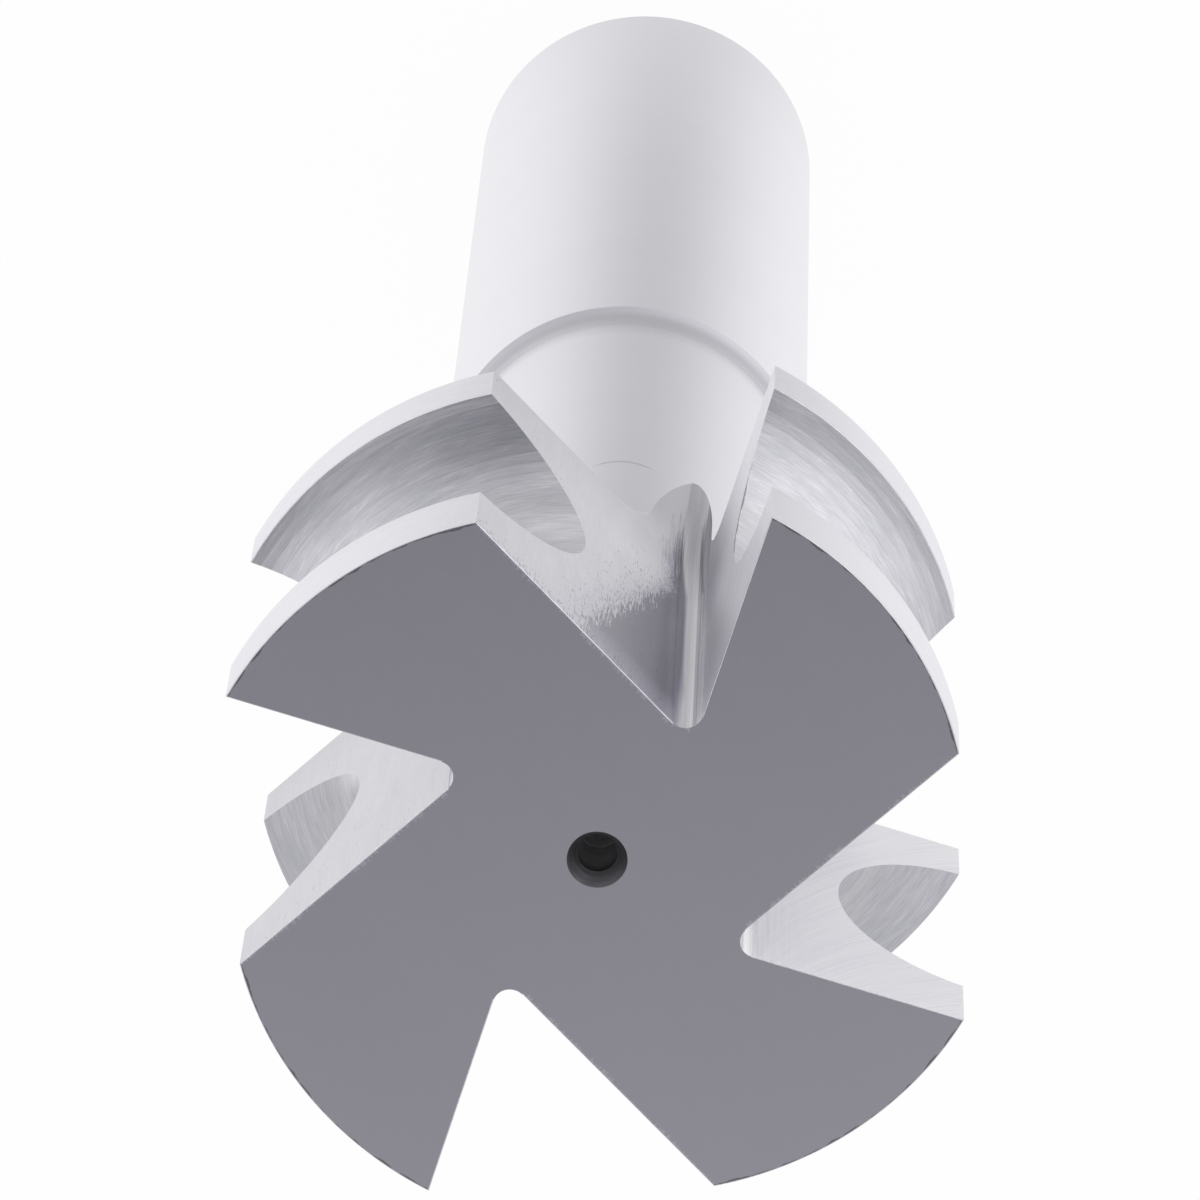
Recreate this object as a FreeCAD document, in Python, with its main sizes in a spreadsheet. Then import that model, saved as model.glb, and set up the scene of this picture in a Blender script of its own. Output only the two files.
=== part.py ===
"""Shank-type concave milling cutter, made from one bar of tool steel.

The cutter stands on the end of its shank, with its axis along +Z and the cutting head on top. The origin is
the centre of the shank's end. A turned blank gets gullets from an angle cutter, and each tooth is then
relieved on two eccentric circles, a steeper one for its land and a gentler one for its concave form.
"""
import FreeCAD
import Part
import math
import os
import Sketcher
from FreeCAD import Placement, Rotation, Vector

NODE = "concave_cutter"

# Driving dimensions, in millimetres and degrees
SIZES = [
    ("overall_length", 106.0, "end of the shank to the end face of the head"),
    ("shank_radius", 10.0, "plain cylindrical shank"),
    ("shank_length", 53.0, "shank's end to the step of the neck"),
    ("shank_chamfer", 0.4, "45 degree chamfer on the shank's end"),
    ("neck_relief", 0.5, "how far the neck lies under the shank, on the radius"),
    ("neck_fillet", 2.0, "fillet at both ends of the neck"),
    ("tip_radius", 20.0, "cutting edges from the axis"),
    ("head_width", 21.4, "head along the axis, both flanges and the groove"),
    ("blank_allowance", 1.0, "metal outside the tips that the relief takes off"),
    ("tooth_count", 4.0, "teeth round the head"),
    ("tip_direction", 22.5, "first cutting edge, from +X"),
    ("form_radius", 7.0, "radius of the concave form"),
    ("form_depth_below_face", 11.1, "middle of the form, from the end face"),
    ("form_centre_lift", 0.6, "centre of the form outside the tip circle"),
    ("form_eccentricity", 1.27, "axis of the form's relief from the cutter's axis"),
    ("land_eccentricity", 1.83, "axis of the land's relief from the cutter's axis"),
    ("eccentric_angle", 43.0, "direction of both relief axes, ahead of the tip"),
    ("relief_lead", 22.0, "where the relief starts, ahead of the tip"),
    ("rake_angle", 7.5, "positive rake of the cutting faces"),
    ("gullet_angle", 60.0, "between a gullet's two walls"),
    ("gullet_root", 7.8, "where the two walls would meet, from the axis"),
    ("gullet_fillet", 0.85, "fillet between the two walls"),
    ("disc_radius", 31.5, "radius of the angle cutter that milled the gullets"),
    ("disc_stop", 20.6, "its centre's last place, from the end face"),
    ("centre_angle", 60.0, "countersink of both centre holes"),
    ("face_centre_mouth", 1.5, "mouth radius of the head's centre hole"),
    ("face_centre_pilot", 1.0, "pilot radius of the head's centre hole"),
    ("shank_centre_mouth", 2.1, "mouth radius of the shank's centre hole"),
    ("shank_centre_pilot", 1.0, "pilot radius of the shank's centre hole"),
    ("centre_pilot_length", 3.0, "straight pilot of both centre holes"),
    ("centre_point_angle", 118.0, "drill point at the bottom of both pilots"),
]

# Places that follow from the driving dimensions
HEAD_BACK = "sizes.overall_length - sizes.head_width"
NECK_RADIUS = "sizes.shank_radius - sizes.neck_relief"
FILLET_RISE = "sqrt(sizes.neck_fillet^2 - (sizes.neck_fillet - sizes.neck_relief)^2)"
BLANK_RADIUS = "sizes.tip_radius + sizes.blank_allowance"
TOOTH_MIDDLE = "sizes.tip_direction + sizes.relief_lead - 180 / sizes.tooth_count"
RAKE_OFFSET = "sizes.tip_radius * sin(sizes.rake_angle)"
ROOT_X = f"sqrt(sizes.gullet_root^2 - ({RAKE_OFFSET})^2)"
ROOT_RUN = "sizes.gullet_fillet / tan(sizes.gullet_angle / 2)"


def make_sheet(doc):
    """The sheet of driving dimensions: one row each, with the value, its alias and what it is."""
    sheet = doc.addObject("Spreadsheet::Sheet", "sizes")
    for row, (alias, value, meaning) in enumerate(SIZES, start=1):
        sheet.set(f"A{row}", alias)
        sheet.set(f"B{row}", str(value))
        sheet.set(f"C{row}", meaning)
        sheet.setAlias(f"B{row}", alias)
    doc.recompute()
    return sheet


def number(owner, expression):
    """The present value of an expression."""
    value = owner.evalExpression(expression)
    return float(getattr(value, "Value", value))


def origin_plane(body, role):
    """The body's own origin plane with this role."""
    return next(plane for plane in body.Origin.OriginFeatures if plane.Role == role)


def make_sketch(body, name, role, base=("0", "0", "0"), axis=Vector(0, 0, 1), angle="0"):
    """An empty sketch on an origin plane, shifted and turned in that plane's own frame."""
    sketch = body.newObject("Sketcher::SketchObject", name)
    sketch.AttachmentSupport = [(origin_plane(body, role), "")]
    sketch.MapMode = "FlatFace"
    shift = Vector(*(number(sketch, part) for part in base))
    turn = number(sketch, angle)
    # A turn of zero would lose its axis
    sketch.AttachmentOffset = Placement(shift, Rotation(axis, turn if turn else 1.0))
    for letter, part in zip("xyz", base):
        sketch.setExpression(f"AttachmentOffset.Base.{letter}", part)
    sketch.setExpression("AttachmentOffset.Rotation.Angle", angle)
    return sketch


def hold(sketch, geometry, position, across, up):
    """Hold a point of the sketch at signed distances from its origin; None leaves that way free."""
    for kind, axis_line, expression in (("DistanceX", -2, across), ("DistanceY", -1, up)):
        if expression is None:
            continue
        value = number(sketch, expression)
        if abs(value) < 1e-9:
            sketch.addConstraint(Sketcher.Constraint("PointOnObject", geometry, position, axis_line))
        elif value > 0:
            index = sketch.addConstraint(Sketcher.Constraint(kind, -1, 1, geometry, position, value))
            sketch.setExpression(f"Constraints[{index}]", expression)
        else:
            index = sketch.addConstraint(Sketcher.Constraint(kind, geometry, position, -1, 1, -value))
            sketch.setExpression(f"Constraints[{index}]", f"-({expression})")


def draw_outline(sketch, corners):
    """Draw a closed outline.

    Each corner is (x, y) or (x, y, centre x, centre y, turn): the last three say that the stretch that
    leaves the corner is an arc round that centre, with turn +1 anticlockwise and -1 clockwise.
    """
    points = [Vector(number(sketch, corner[0]), number(sketch, corner[1]), 0) for corner in corners]
    count = len(corners)
    ends = []
    for index, corner in enumerate(corners):
        here, there = points[index], points[(index + 1) % count]
        if len(corner) == 2:
            geometry = sketch.addGeometry(Part.LineSegment(here, there), False)
            ends.append((geometry, 1, 2))
            continue
        centre = Vector(number(sketch, corner[2]), number(sketch, corner[3]), 0)
        start, stop = (here, there) if corner[4] > 0 else (there, here)
        first = math.atan2(start.y - centre.y, start.x - centre.x)
        last = math.atan2(stop.y - centre.y, stop.x - centre.x)
        circle = Part.Circle(centre, Vector(0, 0, 1), (start - centre).Length)
        geometry = sketch.addGeometry(Part.ArcOfCircle(circle, first, last), False)
        ends.append((geometry, 1, 2) if corner[4] > 0 else (geometry, 2, 1))
        hold(sketch, geometry, 3, corner[2], corner[3])
    for index, corner in enumerate(corners):
        before, after = ends[index - 1], ends[index]
        sketch.addConstraint(Sketcher.Constraint("Coincident", before[0], before[2], after[0], after[1]))
        across, up = corner[0], corner[1]
        arriving = corners[index - 1]
        if len(arriving) > 2:
            # The arc that arrives here already holds the corner at its radius
            centre = Vector(number(sketch, arriving[2]), number(sketch, arriving[3]), 0)
            reach = points[index] - centre
            if abs(reach.x) > abs(reach.y):
                across = None
            else:
                up = None
        hold(sketch, after[0], after[1], across, up)


def turn_blank(body):
    """Turned blank: shank, relieved neck with a fillet at each end, and the plain head."""
    sketch = make_sketch(body, "blank_profile", "XZ_Plane", axis=Vector(0, 1, 0))
    chamfer_foot = "sizes.shank_radius - sizes.shank_chamfer"
    fillet_centre = f"{NECK_RADIUS} + sizes.neck_fillet"
    neck_start = f"sizes.shank_length + {FILLET_RISE}"
    neck_end = f"{HEAD_BACK} - sizes.neck_fillet"
    draw_outline(sketch, [
        ("0", "0"),
        (chamfer_foot, "0"),
        ("sizes.shank_radius", "sizes.shank_chamfer"),
        ("sizes.shank_radius", "sizes.shank_length", fillet_centre, neck_start, -1),
        (NECK_RADIUS, neck_start),
        (NECK_RADIUS, neck_end, fillet_centre, neck_end, -1),
        (fillet_centre, HEAD_BACK),
        (BLANK_RADIUS, HEAD_BACK),
        (BLANK_RADIUS, "sizes.overall_length"),
        ("0", "sizes.overall_length"),
    ])
    blank = body.newObject("PartDesign::Revolution", "blank")
    blank.Profile = sketch
    blank.ReferenceAxis = (sketch, ["V_Axis"])
    blank.Angle = 360
    return blank


def relieve_land(body):
    """Relief of one land: what lies outside a circle round the land's own eccentric axis."""
    direction = "(sizes.tip_direction + sizes.eccentric_angle)"
    base = (
        f"sizes.land_eccentricity * cos({direction})",
        f"sizes.land_eccentricity * sin({direction})",
        "sizes.overall_length",
    )
    sketch = make_sketch(body, "land_sector", "XY_Plane", base, angle=TOOTH_MIDDLE)
    inner = (
        "sqrt(sizes.tip_radius^2 + sizes.land_eccentricity^2"
        " - 2 * sizes.tip_radius * sizes.land_eccentricity * cos(sizes.eccentric_angle))"
    )
    outer = f"{inner} + 4 * sizes.blank_allowance"
    half = "180 / sizes.tooth_count"
    draw_outline(sketch, [
        (f"{inner} * cos({half})", f"-({inner}) * sin({half})"),
        (f"({outer}) * cos({half})", f"-({outer}) * sin({half})", "0", "0", 1),
        (f"({outer}) * cos({half})", f"({outer}) * sin({half})"),
        (f"{inner} * cos({half})", f"{inner} * sin({half})", "0", "0", -1),
    ])
    land = body.newObject("PartDesign::Pocket", "land_relief")
    land.Profile = sketch
    land.Type = "Length"
    land.Length = number(sketch, "sizes.head_width + sizes.blank_allowance")
    land.setExpression("Length", "sizes.head_width + sizes.blank_allowance")
    return land


def relieve_form(body):
    """Concave form of one tooth: a round-bottomed groove turned about the form's own eccentric axis."""
    direction = "(sizes.tip_direction + sizes.eccentric_angle)"
    base = (
        f"sizes.form_eccentricity * cos({direction})",
        "0",
        f"-sizes.form_eccentricity * sin({direction})",
    )
    sketch = make_sketch(body, "form_profile", "XZ_Plane", base, Vector(0, 1, 0), TOOTH_MIDDLE)
    bottom = "(sizes.tip_radius + sizes.form_centre_lift - sizes.form_radius)"
    bottom_reach = (
        f"sqrt({bottom}^2 + sizes.form_eccentricity^2"
        f" - 2 * {bottom} * sizes.form_eccentricity * cos(sizes.eccentric_angle))"
    )
    centre = f"{bottom_reach} + sizes.form_radius"
    outside = f"{centre} + 4 * sizes.blank_allowance"
    height = "sizes.overall_length - sizes.form_depth_below_face"
    draw_outline(sketch, [
        (outside, f"{height} - sizes.form_radius"),
        (outside, f"{height} + sizes.form_radius"),
        (centre, f"{height} + sizes.form_radius", centre, height, 1),
        (centre, f"{height} - sizes.form_radius"),
    ])
    form = body.newObject("PartDesign::Groove", "form_groove")
    form.Profile = sketch
    form.ReferenceAxis = (sketch, ["V_Axis"])
    form.Midplane = True
    form.Angle = 90
    form.setExpression("Angle", "360 / sizes.tooth_count")
    return form


def gullet_section(body, name, height):
    """Section of a gullet across the axis: the rake wall along the sketch's x, the back wall at the V angle."""
    direction = "sizes.tip_direction + sizes.rake_angle"
    sketch = make_sketch(body, name, "XY_Plane", ("0", "0", height), angle=direction)
    floor = f"-({RAKE_OFFSET})"
    far = "1.5 * sizes.tip_radius"
    draw_outline(sketch, [
        (far, floor),
        (far, f"({far} - {ROOT_X}) * tan(sizes.gullet_angle) - {RAKE_OFFSET}"),
        (
            f"{ROOT_X} + {ROOT_RUN} * cos(sizes.gullet_angle)",
            f"{ROOT_RUN} * sin(sizes.gullet_angle) - {RAKE_OFFSET}",
            f"{ROOT_X} + {ROOT_RUN}",
            f"sizes.gullet_fillet - {RAKE_OFFSET}",
            1,
        ),
        (f"{ROOT_X} + {ROOT_RUN}", floor),
    ])
    return sketch


def mill_gullet(body):
    """Straight length of one gullet, from the end face down to where the angle cutter stopped."""
    gullet = body.newObject("PartDesign::Pocket", "gullet")
    gullet.Profile = gullet_section(body, "gullet_face", "sizes.overall_length")
    gullet.Type = "Length"
    gullet.Length = number(gullet, "sizes.disc_stop")
    gullet.setExpression("Length", "sizes.disc_stop")
    return gullet


def mill_run_out(body):
    """Run-out of one gullet: the same section turned about the angle cutter's own axis at its last place."""
    sketch = gullet_section(body, "gullet_stop", "sizes.overall_length - sizes.disc_stop")
    centre = f"{ROOT_X} + {ROOT_RUN} - sizes.gullet_fillet + sizes.disc_radius"
    low = Vector(number(sketch, centre), -10, 0)
    high = Vector(low.x, 10, 0)
    axis = sketch.addGeometry(Part.LineSegment(low, high), True)
    hold(sketch, axis, 1, centre, "-sizes.tip_radius / 2")
    hold(sketch, axis, 2, centre, "sizes.tip_radius / 2")
    run_out = body.newObject("PartDesign::Groove", "gullet_run_out")
    run_out.Profile = sketch
    run_out.ReferenceAxis = (sketch, ["Axis0"])
    run_out.Angle = 360
    return run_out


def repeat_round_head(body, features):
    """All teeth: the cuts of the first one, repeated round the axis."""
    pattern = body.newObject("PartDesign::PolarPattern", "teeth")
    pattern.Originals = features
    axis = next(line for line in body.Origin.OriginFeatures if line.Role == "Z_Axis")
    pattern.Axis = (axis, [""])
    pattern.Angle = 360
    pattern.Occurrences = int(number(pattern, "sizes.tooth_count"))
    pattern.setExpression("Occurrences", "sizes.tooth_count")
    body.Tip = pattern
    return pattern


def drill_centre(body, name, end, inward, mouth, pilot):
    """Centre hole in one end: countersink, straight pilot and drill point, turned about the axis."""
    sketch = make_sketch(body, f"{name}_profile", "XZ_Plane", axis=Vector(0, 1, 0))
    sink = f"({mouth} - {pilot}) / tan(sizes.centre_angle / 2)"
    straight = f"({sink} + sizes.centre_pilot_length)"
    point = f"({straight} + {pilot} / tan(sizes.centre_point_angle / 2))"
    sign = "+" if inward > 0 else "-"
    draw_outline(sketch, [
        ("0", end),
        (mouth, end),
        (pilot, f"{end} {sign} {sink}"),
        (pilot, f"{end} {sign} {straight}"),
        ("0", f"{end} {sign} {point}"),
    ])
    hole = body.newObject("PartDesign::Groove", name)
    hole.Profile = sketch
    hole.ReferenceAxis = (sketch, ["V_Axis"])
    hole.Angle = 360
    return hole


def check_document(doc):
    """Stop on any object that failed, and on a shape that is null or not valid."""
    for thing in doc.Objects:
        state = set(thing.State)
        if "Invalid" in state or "Error" in state:
            raise RuntimeError(f"{thing.Name} failed: {thing.State}")
        if thing.isDerivedFrom("Part::Feature") and hasattr(thing, "Shape"):
            if thing.Shape.isNull() or not thing.Shape.isValid():
                raise RuntimeError(f"{thing.Name} has no valid shape")


def cut_volume(doc, body, make, *values):
    """Make one cut, and stop if it takes no metal away."""
    doc.recompute()
    before = body.Shape.Volume
    feature = make(body, *values)
    doc.recompute()
    if not body.Shape.Volume < before - 1e-3:
        raise RuntimeError(f"{feature.Name} cuts nothing")
    print(f"{feature.Name}: {before - body.Shape.Volume:.2f} mm3 off")
    return feature


def main():
    """Build the cutter, check it and write its node."""
    doc = FreeCAD.newDocument("concave_milling_cutter")
    make_sheet(doc)
    body = doc.addObject("PartDesign::Body", NODE)
    body.Label = NODE
    body.Placement = Placement(Vector(0, 0, 0), Rotation())
    turn_blank(body)
    cuts = [cut_volume(doc, body, make) for make in (relieve_land, relieve_form, mill_gullet, mill_run_out)]
    cut_volume(doc, body, repeat_round_head, cuts)
    cut_volume(
        doc, body, drill_centre, "face_centre", "sizes.overall_length", -1,
        "sizes.face_centre_mouth", "sizes.face_centre_pilot",
    )
    cut_volume(
        doc, body, drill_centre, "shank_centre", "0", 1,
        "sizes.shank_centre_mouth", "sizes.shank_centre_pilot",
    )
    doc.recompute()
    check_document(doc)
    if len(body.Shape.Solids) != 1:
        raise RuntimeError(f"the cutter has {len(body.Shape.Solids)} solids")
    os.makedirs("parts", exist_ok=True)
    body.Shape.exportStep(os.path.join("parts", f"{body.Label}.step"))
    print(f"{body.Label}: volume {body.Shape.Volume:.1f} mm3, {len(body.Shape.Faces)} faces")


main()
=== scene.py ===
"""Looks of a shank-type concave milling cutter, standing on the end of its shank.

The whole cutter is one closed surface. Every region of it, such as a land, a cutting face or the neck, is a
grid of two parameters worked out with numpy from the sizes of the turned blank, the gullets and the teeth,
and each region has its own machined finish. Sizes are in millimetres and degrees until the mesh is made.
"""

import logging
import math
from collections.abc import Callable
from dataclasses import dataclass
from enum import Enum
from functools import cached_property

import bmesh
import bpy
import numpy as np
from mathutils import Matrix, Vector


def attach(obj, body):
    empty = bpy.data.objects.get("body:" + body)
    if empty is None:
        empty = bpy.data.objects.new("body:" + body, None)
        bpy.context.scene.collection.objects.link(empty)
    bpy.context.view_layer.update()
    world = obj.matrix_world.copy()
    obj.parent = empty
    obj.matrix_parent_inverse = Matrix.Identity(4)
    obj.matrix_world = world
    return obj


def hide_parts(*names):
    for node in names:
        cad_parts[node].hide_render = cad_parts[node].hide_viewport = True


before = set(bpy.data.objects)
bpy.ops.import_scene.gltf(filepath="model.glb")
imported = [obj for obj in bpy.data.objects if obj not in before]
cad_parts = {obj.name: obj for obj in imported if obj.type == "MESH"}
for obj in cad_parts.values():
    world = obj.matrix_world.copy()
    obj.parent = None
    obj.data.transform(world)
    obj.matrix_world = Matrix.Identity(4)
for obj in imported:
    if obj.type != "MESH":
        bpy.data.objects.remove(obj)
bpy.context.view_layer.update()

LOG = logging.getLogger("cutter")
MM = 0.001
TEETH = 4
PITCH = 360.0 / TEETH
TOOTH_SHIFT = (41.0, 23.0)
NOISE_RANGE = (0.25, 0.75)
WHITE = (1.0, 1.0, 1.0, 1.0)
SEEN_BY = ("Is Camera Ray", "Is Glossy Ray", "Is Transmission Ray")
# A span is a range of values and then the range that it is mapped to, which is 0 to 1 where it is left out,
# or else a noise's cell size along and across the marks and then its detail and roughness.
Span = tuple[float, ...]


class Region(Enum):
    """The machined regions of the surface, in the order of their material slots."""

    END_FACE = 0
    LAND = 1
    FORM = 2
    CUTTING_FACE = 3
    ROOT = 4
    BACK_WALL = 5
    RUN_OUT = 6
    BACK_FACE = 7
    NECK = 8
    SHANK = 9
    SHANK_END = 10
    CENTRE_HOLE = 11
    EDGE = 12


BROKEN_EDGES = (
    (Region.END_FACE, Region.LAND),
    (Region.END_FACE, Region.CUTTING_FACE),
    (Region.END_FACE, Region.BACK_WALL),
    (Region.LAND, Region.FORM),
    (Region.LAND, Region.BACK_FACE),
    (Region.SHANK, Region.SHANK_END),
)


@dataclass(frozen=True)
class Cells:
    """How many cells each stretch of the surface has."""

    land: int = 6
    form: int = 36
    stop: int = 2
    round: int = 40
    fillet: int = 8
    face_neck: int = 4
    root: int = 12
    outer: int = 16
    run_out: int = 12
    fan: int = 8
    ring: int = 8
    hole: int = 4
    neck: int = 8
    shoulder: int = 6
    shank: int = 16
    chamfer: int = 2
    shank_end: int = 6

    @property
    def back_neck(self) -> int:
        """Columns of the back wall inside the neck's fillet, so that both sides of a tooth match."""
        return self.face_neck + self.root // 2


CELLS = Cells()


def paired(first: np.ndarray, second: np.ndarray) -> np.ndarray:
    """Two arrays side by side along a new last axis, once they are broadcast to one shape."""
    return np.stack(np.broadcast_arrays(first, second), -1)


def polar(radius: np.ndarray, degrees: np.ndarray) -> np.ndarray:
    """Points at a distance and a direction from the axis: (r cos a, r sin a)."""
    return paired(radius * np.cos(np.radians(degrees)), radius * np.sin(np.radians(degrees)))


def direction_of(points: np.ndarray) -> np.ndarray:
    """Direction of each point from the axis, in degrees."""
    return np.degrees(np.arctan2(points[..., 1], points[..., 0]))


def turned(points: np.ndarray, degrees: float) -> np.ndarray:
    """Points turned anticlockwise about the axis, with any heights kept."""
    turn = polar(1.0, np.array([degrees, degrees + 90.0]))
    return np.concatenate([points[..., :2] @ turn, points[..., 2:]], -1)


def steps(start: float, stop: float, cells: int) -> np.ndarray:
    """Evenly spaced values with this many cells between them."""
    return np.linspace(start, stop, cells + 1)


def raised(points: np.ndarray, height: np.ndarray) -> np.ndarray:
    """Plane points given their heights."""
    return np.concatenate([points, np.broadcast_to(height, points.shape[:-1])[..., None]], -1)


def lengths_along(line: np.ndarray) -> np.ndarray:
    """Distance of each point of a line from its first, along the line."""
    return np.concatenate([[0.0], np.cumsum(np.linalg.norm(np.diff(line, axis=0), axis=1))])


def blended(first: np.ndarray, last: np.ndarray, left: np.ndarray, right: np.ndarray) -> np.ndarray:
    """Grid between four boundary lines.

    The point at shares (v, u) is the blend across the first and last rows, plus the blend across the left
    and right columns, less the blend of the four corners.

    Args:
        first: The first row, columns by values.
        last: The last row.
        left: The first column, rows by values.
        right: The last column.

    Returns:
        The grid, rows by columns by values.
    """
    v = np.linspace(0.0, 1.0, len(left))[:, None, None]
    u = np.linspace(0.0, 1.0, len(first))[None, :, None]
    rows = (1 - v) * first[None] + v * last[None]
    columns = (1 - u) * left[:, None] + u * right[:, None]
    corners = (1 - v) * ((1 - u) * first[0] + u * first[-1]) + v * ((1 - u) * last[0] + u * last[-1])
    return rows + columns - corners


def bisected(gap: Callable[[np.ndarray], np.ndarray], low: float, high: float, count: int) -> np.ndarray:
    """Where a function of an array rises through zero between two bounds, by halving 60 times.

    Args:
        gap: The function.
        low: The lower bound, where it is below zero.
        high: The upper bound.
        count: Length of its array.

    Returns:
        The values at which it is zero.
    """
    low, high = np.full(count, low), np.full(count, high)
    for _ in range(60):
        middle = (low + high) / 2
        above = gap(middle) > 0
        low, high = np.where(above, low, middle), np.where(above, middle, high)
    return (low + high) / 2


@dataclass(frozen=True)
class Patch:
    """One grid of the surface.

    Args:
        region: The machined region that it belongs to.
        points: Places of the grid's points, rows by columns by 3, in millimetres.
        flow: Two lengths along the surface at each point, for patterns that follow it.
        step: How many pitches round the axis it has been turned.
    """

    region: Region
    points: np.ndarray
    flow: np.ndarray
    step: int = 0

    def turned(self, degrees: float, step: int = 0) -> "Patch":
        """The same patch turned about the axis, and counted on by this many pitches."""
        return Patch(self.region, turned(self.points, degrees), self.flow, self.step + step)

    def quads(self) -> np.ndarray:
        """Corner numbers of the grid's cells, counted along its rows."""
        index = np.arange(self.points[..., 0].size).reshape(self.points.shape[:2])
        return np.stack([index[:-1, :-1], index[:-1, 1:], index[1:, 1:], index[1:, :-1]], -1).reshape(-1, 4)


def carried_round(region: Region, profile: np.ndarray, directions: np.ndarray) -> Patch:
    """A profile of radius and height, carried round the axis.

    Args:
        region: The machined region of the surface.
        profile: Points of the profile, each a radius and a height.
        directions: Directions of the columns in degrees.

    Returns:
        The patch: point (i, j) is (r_i cos a_j, r_i sin a_j, z_i).
    """
    radius, height = profile[:, :1], profile[:, 1:]
    flow = paired(np.radians(directions) * radius.max(), lengths_along(profile)[:, None])
    return Patch(region, raised(polar(radius, directions), height), flow)


@dataclass(frozen=True)
class CentreHole:
    """A grinder's centre hole: countersink, straight pilot and the drill's point.

    Args:
        mouth: Radius of the countersink's mouth.
        height: Height of the face that it is drilled in.
        inward: -1 if it goes down from that face, 1 if it goes up.
    """

    mouth: float
    height: float
    inward: int
    pilot: float = 1.0
    pilot_length: float = 3.0
    sink_angle: float = 60.0
    point_angle: float = 118.0

    def patches(self, directions: np.ndarray) -> list[Patch]:
        """The hole's three surfaces, each a straight profile carried round the axis.

        Args:
            directions: Directions of the columns in degrees.

        Returns:
            The patches, from the mouth inwards.
        """
        sink = (self.mouth - self.pilot) / math.tan(math.radians(self.sink_angle / 2))
        straight = sink + self.pilot_length
        tip = straight + self.pilot / math.tan(math.radians(self.point_angle / 2))
        outline = [(self.mouth, 0.0), (self.pilot, sink), (self.pilot, straight), (0.0, tip)]
        found = []
        for (r0, d0), (r1, d1) in zip(outline, outline[1:]):
            height = self.height + self.inward * steps(d0, d1, CELLS.hole)
            profile = paired(steps(r0, r1, CELLS.hole), height)
            found.append(carried_round(Region.CENTRE_HOLE, profile, directions))
        return found


@dataclass(frozen=True)
class Blank:
    """The turned bar: plain shank, relieved neck with a fillet at each end, and the head's two faces."""

    length: float = 106.0
    head_width: float = 21.4
    shank_radius: float = 10.0
    shank_length: float = 53.0
    chamfer: float = 0.4
    neck_relief: float = 0.5
    fillet: float = 2.0
    fan_height: float = 72.0

    @property
    def head_back(self) -> float:
        """Height of the head's back face."""
        return self.length - self.head_width

    @property
    def neck_radius(self) -> float:
        """Radius of the neck."""
        return self.shank_radius - self.neck_relief

    @property
    def fillet_top(self) -> float:
        """Radius at which the upper fillet meets the head's back face."""
        return self.neck_radius + self.fillet

    @property
    def neck_end(self) -> float:
        """Height at which the upper fillet starts."""
        return self.head_back - self.fillet

    @property
    def neck_start(self) -> float:
        """Height at which the lower fillet ends."""
        return self.shank_length + math.sqrt(self.fillet ** 2 - (self.fillet - self.neck_relief) ** 2)

    def reach(self, height: np.ndarray) -> np.ndarray:
        """Radius of the neck and its upper fillet at a height: a circle's sine and cosine in the fillet."""
        above = np.clip(height - self.neck_end, 0.0, self.fillet)
        return self.fillet_top - np.sqrt(self.fillet ** 2 - above ** 2)

    def fillet_heights(self) -> np.ndarray:
        """Heights from the head's back face down to the fillet's foot, at even angles of its arc."""
        return self.neck_end + self.fillet * np.sin(np.radians(steps(90.0, 0.0, CELLS.fillet)))

    def lower_patches(self, directions: np.ndarray) -> list[Patch]:
        """Neck, lower fillet, shank, chamfer and the shank's flat end, each a profile carried round the axis.

        Args:
            directions: Directions of the columns, all the way round, first one repeated at the end.

        Returns:
            The patches, from the neck down to the mouth of the shank's centre hole.
        """
        c = CELLS
        arc = steps(0.0, math.asin((self.neck_start - self.shank_length) / self.fillet), c.shoulder)
        cut = steps(0.0, self.chamfer, c.chamfer)
        profiles = [
            (Region.NECK, self.neck_radius, steps(self.fan_height, self.neck_start, c.neck)),
            (Region.NECK, self.fillet_top - self.fillet * np.cos(arc),
             self.neck_start - self.fillet * np.sin(arc)),
            (Region.SHANK, self.shank_radius, steps(self.shank_length, self.chamfer, c.shank)),
            (Region.SHANK_END, self.shank_radius - cut, self.chamfer - cut),
            (Region.SHANK_END, steps(self.shank_radius - self.chamfer, SHANK_CENTRE.mouth, c.shank_end), 0.0),
        ]
        return [carried_round(region, paired(radius, height), directions)
                for region, radius, height in profiles]


BLANK = Blank()
FACE_CENTRE = CentreHole(mouth=1.5, height=BLANK.length, inward=-1)
SHANK_CENTRE = CentreHole(mouth=2.1, height=0.0, inward=1)


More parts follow.
